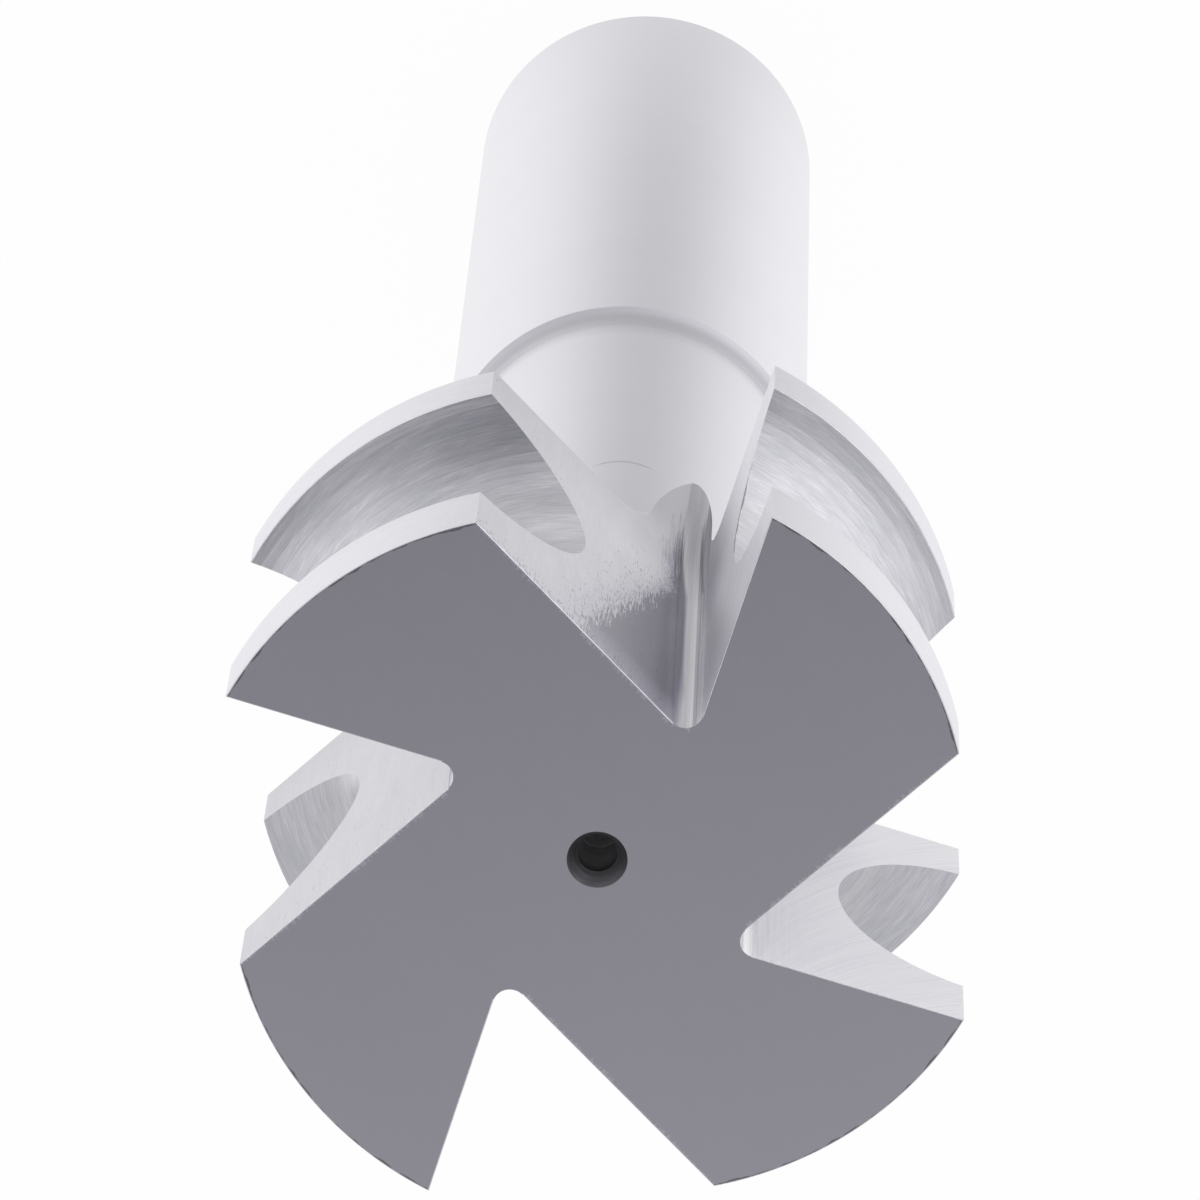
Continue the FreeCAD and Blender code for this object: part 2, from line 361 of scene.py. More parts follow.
@dataclass(frozen=True)
class Gullet:
    """The V-shaped chip space ahead of a cutting face, milled by an angle cutter that stops behind the head.

    Its own frame is turned so that x runs along the cutting face, away from the axis. The cutting face is the
    line y = -offset, and the back wall leaves the sharp root at the V's angle.
    """

    tip_radius: float = 20.0
    tip_direction: float = 22.5
    rake: float = 7.5
    angle: float = 60.0
    root: float = 7.8
    fillet: float = 0.85
    disc_radius: float = 31.5
    disc_stop: float = 20.6

    @property
    def direction(self) -> float:
        """Direction of the cutting face, from the axis outwards."""
        return self.tip_direction + self.rake

    @property
    def offset(self) -> float:
        """Distance of the cutting face's plane from the axis."""
        return self.tip_radius * math.sin(math.radians(self.rake))

    @property
    def root_x(self) -> float:
        """Where the two walls would meet."""
        return math.sqrt(self.root ** 2 - self.offset ** 2)

    @property
    def run(self) -> float:
        """From there to where the root's fillet touches either wall."""
        return self.fillet / math.tan(math.radians(self.angle / 2))

    @property
    def face_foot(self) -> float:
        """Where the fillet touches the cutting face."""
        return self.root_x + self.run

    @property
    def disc_x(self) -> float:
        """Axis of the angle cutter."""
        return self.face_foot - self.fillet + self.disc_radius

    @property
    def stop(self) -> float:
        """Height of the angle cutter's axis at its last place."""
        return BLANK.length - self.disc_stop

    @property
    def heel_line(self) -> float:
        """Where the edge of the back wall lies across the end face, in the frame of the tooth ahead of it."""
        return float(turned(self.back(np.zeros(1)), self.direction - PITCH)[0, 1])

    def face(self, x: np.ndarray) -> np.ndarray:
        """Section points of the cutting face: (x, -offset)."""
        return paired(x, -self.offset)

    def bottom(self, degrees: np.ndarray) -> np.ndarray:
        """Section points of the root's fillet: a circle that touches both walls."""
        return np.array([self.face_foot, self.fillet - self.offset]) + polar(self.fillet, degrees)

    def back(self, along: np.ndarray) -> np.ndarray:
        """Section points of the back wall, at a distance from the sharp root."""
        return np.array([self.root_x, -self.offset]) + polar(along, self.angle)

    def swept(self, section: np.ndarray, height: np.ndarray) -> np.ndarray:
        """Where the angle cutter leaves a section point at a height.

        Above the disc's last axis the section is straight. Below it each point turns about that axis, so that
        its x is the axis less the root of (its distance from the axis squared less the drop squared).

        Args:
            section: Section points.
            height: Their heights, of a shape that they can be broadcast with.

        Returns:
            The points in the gullet's frame.
        """
        drop = np.clip(self.stop - height, 0.0, None)
        x = self.disc_x - np.sqrt((self.disc_x - section[..., 0]) ** 2 - drop ** 2)
        return paired(x, section[..., 1])

    def on_face(self, along: np.ndarray, height: np.ndarray) -> np.ndarray:
        """Points of the cutting face in the cutter's frame. It is upright, so the height adds nothing."""
        return turned(self.face(along), self.direction)

    def on_heel(self, along: np.ndarray, height: np.ndarray) -> np.ndarray:
        """Points of the back wall behind the first tooth, in the cutter's frame."""
        return turned(self.swept(self.back(along), height), self.direction - PITCH)

    def outside_neck(self, section: np.ndarray, height: np.ndarray) -> np.ndarray:
        """How far outside the neck the angle cutter leaves a section point at a height."""
        return np.linalg.norm(self.swept(section, height), axis=-1) - BLANK.reach(height)

    def exit_height(self, section: np.ndarray) -> np.ndarray:
        """Height at which the circle through a section point comes out of the neck."""
        return bisected(lambda height: -self.outside_neck(section, height), BLANK.fan_height, BLANK.head_back,
                        len(section))

    def back_at(self, height: np.ndarray) -> np.ndarray:
        """Distance along the back wall's section at which its circle comes out of the neck at a height."""
        return bisected(lambda along: self.outside_neck(self.back(along), height), self.run, self.root,
                        len(height))


GULLET = Gullet()


@dataclass(frozen=True)
class Tooth:
    """One form-relieved tooth: its land and its concave form are parts of two eccentric circles.

    The land is a cylinder about its own axis. The form is a round groove turned about another: at an angle f
    across it, the distance from that axis is (form axis - form radius times cos f), and the height is the
    form's middle plus form radius times sin f.
    """

    land_eccentricity: float = 1.83
    form_eccentricity: float = 1.27
    eccentric_angle: float = 43.0
    form_radius: float = 7.0
    form_below_face: float = 11.1
    form_lift: float = 0.6

    def centre(self, eccentricity: float) -> np.ndarray:
        """An eccentric axis, in the cutter's frame."""
        return polar(eccentricity, GULLET.tip_direction + self.eccentric_angle)

    def from_centre(self, reach: float, eccentricity: float) -> float:
        """Distance of the tip's direction at this reach from an eccentric axis, by the cosine rule."""
        ahead = math.cos(math.radians(self.eccentric_angle))
        return math.sqrt(reach ** 2 + eccentricity ** 2 - 2 * reach * eccentricity * ahead)

    @property
    def land_radius(self) -> float:
        """Radius of the land about its own axis."""
        return self.from_centre(GULLET.tip_radius, self.land_eccentricity)

    @property
    def form_axis(self) -> float:
        """Distance from the form's own axis to the centre of its section."""
        bottom = GULLET.tip_radius + self.form_lift - self.form_radius
        return self.from_centre(bottom, self.form_eccentricity) + self.form_radius

    @property
    def form_height(self) -> float:
        """Height of the form's middle."""
        return BLANK.length - self.form_below_face

    def form_rise(self, across: np.ndarray) -> np.ndarray:
        """Height above the form's middle, at an angle across it."""
        return self.form_radius * np.sin(np.radians(across))

    def form_reach(self, across: np.ndarray) -> np.ndarray:
        """Distance of the form from its own axis, at an angle across it."""
        return self.form_axis - self.form_radius * np.cos(np.radians(across))

    def edge_angle(self, points: np.ndarray) -> np.ndarray:
        """Angle across the form at which it meets the land in these directions."""
        distance = np.linalg.norm(points - self.centre(self.form_eccentricity), axis=-1)
        return np.degrees(np.arccos((self.form_axis - distance) / self.form_radius))


TOOTH = Tooth()


@dataclass(frozen=True)
class Sector:
    """One pitch of the head: a gullet, the tooth behind its cutting face and their stretch of the neck.

    Args:
        root_angles: Directions at which the root's fillet touches the cutting face and the back wall.
        fan_lean: How far the fan's foot is turned from its top, at its start, just after it, and on either
            side of the back wall's run-out.
    """

    root_angles: tuple[float, float] = (270.0, 150.0)
    fan_lean: tuple[float, float, float, float] = (-4.5, -1.0, 0.5, 1.5)

    def heights(self, across: np.ndarray) -> tuple[np.ndarray, int, int]:
        """Heights of a tooth's rows.

        Args:
            across: Angles of the form's rows across it.

        Returns:
            The heights, and how many of them lie before and after the form's own.
        """
        form = TOOTH.form_height + TOOTH.form_rise(across)
        first = steps(BLANK.length, form[0], CELLS.land)[:-1]
        last = np.concatenate([steps(form[-1], GULLET.stop, CELLS.land)[1:],
                               steps(GULLET.stop, BLANK.head_back, CELLS.stop)[1:]])
        return np.concatenate([first, form, last]), len(first), len(last)

    def side(self, place: Callable[[np.ndarray, np.ndarray], np.ndarray]) -> tuple[np.ndarray, ...]:
        """The profile that the tooth shows on one of the walls beside it.

        Args:
            place: Gives the wall's points in the cutter's frame by the distances along it and the heights.

        Returns:
            Heights from the end face down, distances along the wall, and the form's angles across it.
        """
        def meeting(height: np.ndarray, eccentricity: float, radius: np.ndarray) -> np.ndarray:
            """Distances along the wall at which it meets an eccentric circle."""
            centre = TOOTH.centre(eccentricity)
            return bisected(lambda along: np.linalg.norm(place(along, height) - centre, axis=-1) - radius,
                            GULLET.run, GULLET.tip_radius, len(height))

        top, land = np.array([BLANK.length]), (TOOTH.land_eccentricity, TOOTH.land_radius)
        edge = float(TOOTH.edge_angle(place(meeting(top, *land), top))[0])
        across = steps(edge, -edge, CELLS.form)
        heights, first, last = self.heights(across)
        form = meeting(heights[first:-last], TOOTH.form_eccentricity, TOOTH.form_reach(across))
        along = [meeting(heights[:first], *land), form, meeting(heights[-last:], *land)]
        return heights, np.concatenate(along), across

    @cached_property
    def tip(self) -> tuple[np.ndarray, ...]:
        """The tooth's profile on its cutting face."""
        return self.side(GULLET.on_face)

    @cached_property
    def heel(self) -> tuple[np.ndarray, ...]:
        """The tooth's profile on the back wall behind it, in the same order and number."""
        return self.side(GULLET.on_heel)

    @cached_property
    def way_out(self) -> dict[str, np.ndarray]:
        """Section points whose circles come out of the neck at well spaced heights.

        Returns:
            "face": distances along the cutting face from the root's fillet outwards, "angles" of the root's
            fillet from the cutting face to the back wall, and "back": distances along the back wall.
        """
        def neck_heights(section: np.ndarray, cells: int) -> np.ndarray:
            """Heights down the upper fillet and on to where a section point's circle comes out."""
            low = steps(BLANK.neck_end, float(GULLET.exit_height(section)[0]), cells)[1:]
            return np.concatenate([BLANK.fillet_heights(), low])

        heights = neck_heights(GULLET.face(np.array([GULLET.face_foot])), CELLS.face_neck)
        x = np.sqrt(BLANK.reach(heights) ** 2 - GULLET.offset ** 2)
        face = GULLET.disc_x - np.sqrt((GULLET.disc_x - x) ** 2 + (GULLET.stop - heights) ** 2)
        back = GULLET.back_at(neck_heights(GULLET.back(np.array([GULLET.run])), CELLS.back_neck))
        face[-1], back[-1] = GULLET.face_foot, GULLET.run
        return {"face": face[::-1], "angles": steps(*self.root_angles, CELLS.root), "back": back[::-1]}

    @cached_property
    def walls(self) -> dict[str, Patch]:
        """Cutting face, root and back wall of the gullet down to the head's back face, in its own frame.

        Returns:
            The patches "face", "root" and "back".
        """
        def shares(inner: np.ndarray, end: float) -> np.ndarray:
            """Shares of a wall's columns: the neck's own, then even cells on to the tooth."""
            places = np.concatenate([inner, steps(inner[-1], end, CELLS.outer)[1:]])
            return (places - places[0]) / (places[-1] - places[0])

        out, (tip_z, tip_x, _), (heel_z, heel_s, _) = self.way_out, self.tip, self.heel
        low = GULLET.swept(GULLET.face(out["face"]), BLANK.head_back)[:, 0]
        foot = GULLET.swept(GULLET.face(np.array([GULLET.face_foot])), tip_z)[:, :1]
        along, z = foot + shares(low, tip_x[-1]) * (tip_x[:, None] - foot), tip_z[:, None]
        face = Patch(Region.CUTTING_FACE, raised(GULLET.face(along), z), paired(along, z))
        length = np.radians(self.root_angles[0] - out["angles"]) * GULLET.fillet
        points = raised(GULLET.swept(GULLET.bottom(out["angles"]), z), z)
        root = Patch(Region.ROOT, points, paired(length, z))
        share = shares(out["back"], heel_s[-1])
        along = GULLET.run + share * (heel_s - GULLET.run)[:, None]
        z = z + share * (heel_z - tip_z)[:, None]
        points = raised(GULLET.swept(GULLET.back(along), z), z)
        return {"face": face, "root": root, "back": Patch(Region.BACK_WALL, points, paired(along, z))}

    def run_out(self) -> list[Patch]:
        """Where the angle cutter runs out into the neck, in the gullet's frame.

        Returns:
            Three strips side by side: cutting face, root and back wall.
        """
        out = self.way_out
        strips = [
            (Region.CUTTING_FACE, GULLET.face(out["face"]), GULLET.face_foot),
            (Region.ROOT, GULLET.bottom(out["angles"]), 0.0),
            (Region.RUN_OUT, GULLET.back(out["back"]), GULLET.run),
        ]
        made = []
        for region, section, first in strips:
            heights = np.clip(GULLET.exit_height(section), None, BLANK.head_back)
            z = BLANK.head_back + steps(0.0, 1.0, CELLS.run_out)[:, None] * (heights - BLANK.head_back)
            flow = paired(first + lengths_along(section), z)
            made.append(Patch(region, raised(GULLET.swept(section, z), z), flow))
        return made

    def tooth(self) -> list[Patch]:
        """The tooth behind the cutting face, in the cutter's frame.

        Returns:
            The patches of its lands, form, end face and back face.
        """
        c = CELLS
        face, root = (self.walls[name].turned(GULLET.direction).points for name in ("face", "root"))
        heel = self.walls["back"].turned(GULLET.direction - PITCH).points
        centre = TOOTH.centre(TOOTH.land_eccentricity)
        tip_a, heel_a = (direction_of(wall[:, -1, :2] - centre)[:, None] for wall in (face, heel))
        angles = tip_a + steps(0.0, 1.0, c.round) * (heel_a - tip_a)
        land, arc = centre + polar(TOOTH.land_radius, angles), np.radians(angles) * TOOTH.land_radius
        edge = TOOTH.edge_angle(land[0])
        rise = TOOTH.form_rise(edge)
        down = steps(0.0, 1.0, c.land)[:, None]
        front_z = BLANK.length + down * (TOOTH.form_height + rise - BLANK.length)
        back_z = TOOTH.form_height - rise + down * (GULLET.stop - TOOTH.form_height + rise)
        flat = np.broadcast_to(steps(GULLET.stop, BLANK.head_back, c.stop)[1:, None], (c.stop, c.round + 1))
        back_z = np.concatenate([back_z, flat])
        stretches = ((slice(c.land + 1), front_z), (slice(-len(back_z), None), back_z))
        lands = [Patch(Region.LAND, raised(land[rows], z), paired(arc[rows], z)) for rows, z in stretches]
        return [*lands, self.form(land[0], edge), *self.faces(land, face, heel, root)]

    def form(self, land: np.ndarray, edge: np.ndarray) -> Patch:
        """The concave form, blended between its two edges, the cutting face and the heel.

        Args:
            land: Points of the land, from the tip to the heel.
            edge: Angles across the form at which it meets the land there.

        Returns:
            The patch, in the cutter's frame.
        """
        centre = TOOTH.centre(TOOTH.form_eccentricity)
        rows = slice(CELLS.land, CELLS.land + CELLS.form + 1)
        walls = ((GULLET.on_face, self.tip), (GULLET.on_heel, self.heel))
        sides = [paired(direction_of(place(along[rows], heights[rows]) - centre), across)
                 for place, (heights, along, across) in walls]
        land_a = direction_of(land - centre)
        grid = blended(paired(land_a, edge), paired(land_a, -edge), *sides)
        around, across = grid[..., 0], grid[..., 1]
        height = TOOTH.form_height + TOOTH.form_rise(across)
        points = raised(centre + polar(TOOTH.form_reach(across), around), height)
        from_edge = np.radians(around - around[:, :1]) * TOOTH.land_radius
        return Patch(Region.FORM, points, paired(from_edge, np.radians(across) * TOOTH.form_radius))

    def faces(self, land: np.ndarray, face: np.ndarray, heel: np.ndarray, root: np.ndarray) -> list[Patch]:
        """The tooth's share of the end face and of the head's back face, each blended between its outlines.

        Args:
            land: Section points of the land by row.
            face: Points of the cutting face.
            heel: Points of the back wall behind the tooth.
            root: Points of the root's fillet.

        Returns:
            The two patches, in the cutter's frame.
        """
        outer = CELLS.outer + 1
        side = np.concatenate([face[0, ::-1, :2], root[0, 1:CELLS.root // 2 + 1, :2]])
        across = steps(0.0, 1.0, CELLS.round)[:, None]
        chord = side[-1] + across * (heel[0, 0, :2] - side[-1])
        top = blended(land[0], chord, side, heel[0, ::-1, :2])
        inner_face, inner_heel = face[-1, -outer, :2], heel[-1, -outer, :2]
        ring = direction_of(np.stack([inner_face, inner_heel]))
        arc = polar(BLANK.fillet_top, ring[0] + across[:, 0] * (ring[1] - ring[0]))
        arc[0], arc[-1] = inner_face, inner_heel
        low = blended(land[-1], arc, face[-1, ::-1, :2][:outer], heel[-1, ::-1, :2][:outer])
        return [Patch(Region.END_FACE, raised(top, BLANK.length), top),
                Patch(Region.BACK_FACE, raised(low, BLANK.head_back), low)]

    def neck(self) -> tuple[list[Patch], np.ndarray]:
        """The neck's fillet between two gullets, and the fan that closes round a run-out.

        The fan blends, in direction and height, from the run-out's outline and the fillet's foot to an even
        ring lower down, and lies on the neck's cylinder.

        Returns:
            The patches and the directions of the fan's foot.
        """
        c = CELLS
        face, root, back = (patch.turned(GULLET.direction).points[-1] for patch in self.run_out())
        face = face[::-1]
        heights = BLANK.fillet_heights()[:, None]
        left, right = (direction_of(side[:c.fillet + 1])[:, None] for side in (back[::-1], face))
        around = left + steps(0.0, 1.0, c.round) * (right + PITCH - left)
        points = raised(polar(BLANK.reach(heights), around), heights)
        length = np.radians(steps(0.0, 90.0, c.fillet))[:, None] * BLANK.fillet
        collar = Patch(Region.NECK, points, paired(np.radians(around) * BLANK.neck_radius, length))
        outline = np.concatenate([face[c.fillet:], root[1:], back[1:len(back) - c.fillet], points[-1, 1:]])
        top = direction_of(outline)
        top = top + 360.0 * (np.arange(len(top)) > len(top) / 2) * (top < 0)
        marks = np.cumsum([0, c.face_neck, c.root, c.back_neck, c.round])
        spread = top[[0, 0, marks[2], marks[3]]] + self.fan_lean
        foot = np.interp(np.arange(len(top)), marks, [*spread, spread[0] + PITCH])
        share = steps(0.0, 1.0, c.fan)[:, None]
        angle = top + share * (foot - top)
        z = outline[:, 2] + share * (BLANK.fan_height - outline[:, 2])
        points = raised(polar(BLANK.neck_radius, angle), z)
        points[0] = outline
        return [collar, Patch(Region.NECK, points, paired(np.radians(angle) * BLANK.neck_radius, z))], foot

    def hub(self) -> np.ndarray:
        """Outline of the end face's middle over one pitch.

        Returns:
            Half the root's fillet and then the next tooth's chord.
        """
        root = self.walls["root"].turned(GULLET.direction).points
        face = next(patch for patch in self.tooth() if patch.region is Region.END_FACE)
        chord = face.turned(PITCH).points[-1]
        return np.concatenate([root[0, CELLS.root // 2:], chord[-2::-1]])


def read(items: bpy.types.bpy_prop_collection, name: str, size: int) -> np.ndarray:
    """A property of all edges, corners or faces of a mesh.

    Args:
        items: The mesh's edges, corners or faces.
        name: The property.
        size: How many values it has in all.

    Returns:
        Its values as a flat array.
    """
    values = np.empty(size)
    items.foreach_get(name, values)
    return values


@dataclass(frozen=True)
class Cutter:
    """The whole cutter: its head, neck, shank and centre holes as one closed mesh.

    Args:
        broken_edge: Width of a broken edge in millimetres.
        broken_cells: How many cells it has across its width.
        sharp_turn: Turn in degrees past which an edge between two regions is sharp.
        any_turn: Turn past which any edge is.
        weld: Distance in metres within which the patches' border points are one.
    """

    broken_edge: float = 0.06
    broken_cells: int = 2
    sharp_turn: float = 8.0
    any_turn: float = 35.0
    weld: float = 2e-7

    def patches(self) -> list[Patch]:
        """Every patch of the cutter, in its frame.

        Returns:
            The patches of the four pitches, the middle of the end face and all that lies below the fan.
        """
        sector = Sector()
        (neck, foot), hub, teeth = sector.neck(), sector.hub(), range(TEETH)
        gullet = [patch.turned(GULLET.direction) for patch in (*sector.walls.values(), *sector.run_out())]
        pitch = [*gullet, *sector.tooth(), *neck]
        patches = [patch.turned(PITCH * step, step) for step in teeth for patch in pitch]
        loop = np.concatenate([turned(hub[:-1], PITCH * step) for step in teeth] + [hub[:1]])
        directions = np.unwrap(direction_of(loop), period=360.0)
        mouth = raised(polar(FACE_CENTRE.mouth, directions), BLANK.length)
        ring = loop + steps(0.0, 1.0, CELLS.ring)[:, None, None] * (mouth - loop)
        around = np.concatenate([foot[:-1] + PITCH * step for step in teeth] + [foot[:1] + 360.0])
        patches += [Patch(Region.END_FACE, ring, ring[..., :2]), *FACE_CENTRE.patches(directions)]
        return patches + BLANK.lower_patches(around) + SHANK_CENTRE.patches(around)

    def mesh(self) -> bpy.types.Mesh:
        """One closed mesh of all patches, with a material slot for each region and two UV maps.

        The UV map "place" is the patch's flow as it is, the same on each tooth. "flow" is shifted on each
        tooth, so that no two teeth carry the same marks.

        Returns:
            The mesh, in metres, with doubles merged and every face outwards.
        """
        patches = self.patches()
        sizes = [patch.points[..., 0].size for patch in patches]
        quads = [patch.quads() for patch in patches]
        faces = np.concatenate([cells + start for cells, start in zip(quads, np.cumsum([0, *sizes]))])
        points = np.concatenate([patch.points.reshape(-1, 3) for patch in patches])
        place = np.concatenate([patch.flow.reshape(-1, 2) for patch in patches])
        shift = np.repeat([patch.step for patch in patches], sizes)[:, None] * TOOTH_SHIFT
        mesh = bpy.data.meshes.new("cutter")
        mesh.from_pydata(points * MM, [], faces)
        slots = np.repeat([patch.region.value for patch in patches], [len(cells) for cells in quads])
        mesh.polygons.foreach_set("material_index", slots)
        for label, values in (("flow", place + shift), ("place", place)):
            corners = values[faces.ravel()].astype(np.float32)
            mesh.uv_layers.new(name=label).uv.foreach_set("vector", corners.ravel())
        work = bmesh.new()
        work.from_mesh(mesh)
        bmesh.ops.remove_doubles(work, verts=work.verts, dist=self.weld)
        bmesh.ops.dissolve_degenerate(work, edges=work.edges, dist=self.weld / 2)
        bmesh.ops.recalc_face_normals(work, faces=work.faces)
        open_edges = sum(1 for edge in work.edges if len(edge.link_faces) != 2)
        LOG.info("%s: %d faces, %d open edges, volume %.1f mm3", mesh.name, len(work.faces), open_edges,
                 work.calc_volume() / MM ** 3)
        work.to_mesh(mesh)
        work.free()
        return mesh

    def mark_edges(self, mesh: bpy.types.Mesh) -> None:
        """Mark the edges between the regions as sharp and to be broken, and leave the rest smooth.

        An edge's turn is the arc cosine of its two faces' normals multiplied together. It is sharp where the
        regions differ and the turn passes one limit, or where the turn passes the other.

        Args:
            mesh: The closed mesh, whose every edge has two faces.
        """
        count = len(mesh.polygons)
        sizes = read(mesh.polygons, "loop_total", count).astype(int)
        order = np.argsort(read(mesh.loops, "edge_index", len(mesh.loops)), kind="stable")
        owner = np.repeat(np.arange(count), sizes)[order].reshape(-1, 2)
        one, other = read(mesh.polygons, "normal", 3 * count).reshape(-1, 3)[owner.T]
        turn = np.degrees(np.arccos(np.clip((one * other).sum(-1), -1.0, 1.0)))
        regions = np.sort(read(mesh.polygons, "material_index", count)[owner], axis=1)
        sharp = ((regions[:, 0] != regions[:, 1]) & (turn > self.sharp_turn)) | (turn > self.any_turn)
        pairs = [first.value * len(Region) + last.value for first, last in BROKEN_EDGES]
        broken = sharp & np.isin(regions[:, 0] * len(Region) + regions[:, 1], pairs)
        mesh.attributes.new("sharp_edge", "BOOLEAN", "EDGE").data.foreach_set("value", sharp)
        weight = mesh.attributes.new("bevel_weight_edge", "FLOAT", "EDGE")
        weight.data.foreach_set("value", broken.astype(np.float32))

    def build(self) -> bpy.types.Object:
        """Make the cutter with its finishes, and break its marked edges with a narrow rounding.

        Returns:
            The object.
        """
        mesh = self.mesh()
        self.mark_edges(mesh)
        cutter = bpy.data.objects.new("cutter", mesh)
        bpy.context.scene.collection.objects.link(cutter)
        workshop = Workshop()
        for region in Region:
            mesh.materials.append(workshop.material(FINISHES[region]))
        bevel = cutter.modifiers.new("broken_edges", "BEVEL")
        bevel.limit_method, bevel.width, bevel.segments = "WEIGHT", self.broken_edge * MM, self.broken_cells
        bevel.use_clamp_overlap, bevel.harden_normals = False, True
        bevel.material = Region.EDGE.value
        return cutter


class Signal:
    """A value over the surface: an output socket of a tree, whose arithmetic adds Math nodes."""

    def __init__(self, tree: "Tree", socket: bpy.types.NodeSocket) -> None:
        """Keep the socket and its tree."""
        self.tree, self.socket = tree, socket

    def maths(self, operation: str, *values: "float | Signal") -> "Signal":
        """The Math node's output for this value and others."""
        return self.tree.out("ShaderNodeMath", dict(enumerate((self, *values))), operation=operation)

    def __add__(self, other: "float | Signal") -> "Signal":
        """The sum."""
        return self.maths("ADD", other)

    def __sub__(self, other: "float | Signal") -> "Signal":
        """The difference."""
        return self.maths("SUBTRACT", other)

    def __mul__(self, other: "float | Signal") -> "Signal":
        """The product."""
        return self.maths("MULTIPLY", other)

    def __truediv__(self, other: "float | Signal") -> "Signal":
        """The quotient."""
        return self.maths("DIVIDE", other)

    def __abs__(self) -> "Signal":
        """The distance from zero."""
        return self.maths("ABSOLUTE")

    def larger(self, other: "float | Signal") -> "Signal":
        """The larger of the two."""
        return self.maths("MAXIMUM", other)

    def smaller(self, other: "float | Signal") -> "Signal":
        """The smaller of the two."""
        return self.maths("MINIMUM", other)

    def ramp(self, low: float, high: float, to_low: float = 0.0, to_high: float = 1.0) -> "Signal":
        """The value mapped from one range to another and held inside it."""
        return self.tree.out("ShaderNodeMapRange", {0: self, 1: low, 2: high, 3: to_low, 4: to_high})

    def swing(self, middle: float, half: float) -> "Signal":
        """Noise about a half, mapped to either side of a middle."""
        return self.ramp(*NOISE_RANGE, middle - half, middle + half)

    def parts(self) -> list["Signal"]:
        """The three parts of a vector."""
        outputs = self.tree.add("ShaderNodeSeparateXYZ", {0: self}).outputs
        return [Signal(self.tree, socket) for socket in outputs]

    def noise(self, along: "float | Signal", across: "float | Signal", detail: float = 2.0,
              roughness: float = 0.5) -> "Signal":
        """Smooth noise from 0 to 1 on these coordinates.

        Args:
            along: Length of its cells along the first and the third coordinate.
            across: Their width along the second.
            detail: Number of finer layers.
            roughness: Strength of a finer layer against the one before it.

        Returns:
            The noise.
        """
        x, y, z = self.parts()
        inputs = {"Vector": self.tree.vector(x / along, y / across, z / along), "Scale": 1.0}
        return self.tree.out("ShaderNodeTexNoise", {**inputs, "Detail": detail, "Roughness": roughness})


class Tree:
    """A node tree with short calls for adding and joining nodes."""

    def __init__(self, tree: bpy.types.NodeTree) -> None:
        """Take a tree and empty it."""
        self.tree = tree
        tree.nodes.clear()

    def add(self, kind: str, inputs: dict | None = None, **settings) -> bpy.types.Node:
        """Add a node.

        Args:
            kind: The node's type.
            inputs: Values or signals by input name or number.
            settings: Properties of the node.

        Returns:
            The node.
        """
        node = self.tree.nodes.new(kind)
        for name, value in settings.items():
            setattr(node, name, value)
        for name, value in (inputs or {}).items():
            if isinstance(value, Signal):
                self.tree.links.new(value.socket, node.inputs[name])
            else:
                node.inputs[name].default_value = value
        return node

    def out(self, kind: str, inputs: dict | None = None, output: int | str = 0, **settings) -> Signal:
        """One output of a new node."""
        return Signal(self, self.add(kind, inputs, **settings).outputs[output])

    def mixed(self, share: Signal, first: "float | Signal", second: "float | Signal") -> Signal:
        """The first value where the share is 0, and the second where it is 1."""
        return self.out("ShaderNodeMix", {0: share, 2: first, 3: second})

    def vector(self, *parts: "float | Signal") -> Signal:
        """A vector of two or three parts."""
        return self.out("ShaderNodeCombineXYZ", dict(enumerate(parts)))

    def length(self, *parts: "float | Signal") -> Signal:
        """Length of a vector of these parts."""
        return self.out("ShaderNodeVectorMath", {0: self.vector(*parts)}, "Value", operation="LENGTH")

    def flow(self, name: str = "flow") -> Signal:
        """One of the surface's two UV maps, in millimetres."""
        return self.out("ShaderNodeUVMap", uv_map=name)

    def spot(self) -> Signal:
        """The place in the cutter's frame, in millimetres."""
        place = self.out("ShaderNodeTexCoord", output="Object")
        return self.out("ShaderNodeVectorMath", {0: place, "Scale": 1 / MM}, operation="SCALE")


class Group(Tree):
    """A new shader node group, which takes a pattern's coordinates and numbers and puts out values."""

    def __init__(self, name: str, numbers: tuple[str, ...], values: tuple[str, ...]) -> None:
        """Make the group and its sockets.

        Args:
            name: Name of the group.
            numbers: Names of its inputs after "Vector".
            values: Names of its outputs.
        """
        group = bpy.data.node_groups.new(name, "ShaderNodeTree")
        group.interface.new_socket(name="Vector", in_out="INPUT", socket_type="NodeSocketVector")
        for way, labels in (("INPUT", numbers), ("OUTPUT", values)):
            for label in labels:
                group.interface.new_socket(name=label, in_out=way, socket_type="NodeSocketFloat")
        super().__init__(group)
        inputs = self.add("NodeGroupInput").outputs
        self.given = {label: Signal(self, inputs[label]) for label in ("Vector", *numbers)}

    def give(self, **values: Signal) -> bpy.types.NodeTree:
        """Put out these values by name, and hand over the finished group."""
        self.add("NodeGroupOutput", values)
        return self.tree


LAY_GRAIN = (4.0, 0.6)
PATCH_GRAIN = (3.0, 0.6)
PATCH_STRETCH = 5.0


def lay_group() -> bpy.types.NodeTree:
    """Lay marks and broad patches, both from 0 to 1 about a half: noise drawn out along the lay.

    Returns:
        The group.
    """
    group = Group("lay_marks", ("Length", "Width", "Patch"), ("Marks", "Patches"))
    vector, length, width, patch = group.given.values()
    marks = vector.noise(length, width, *LAY_GRAIN)
    patches = vector.noise(patch * PATCH_STRETCH, patch, *PATCH_GRAIN)
    return group.give(Marks=marks, Patches=patches)


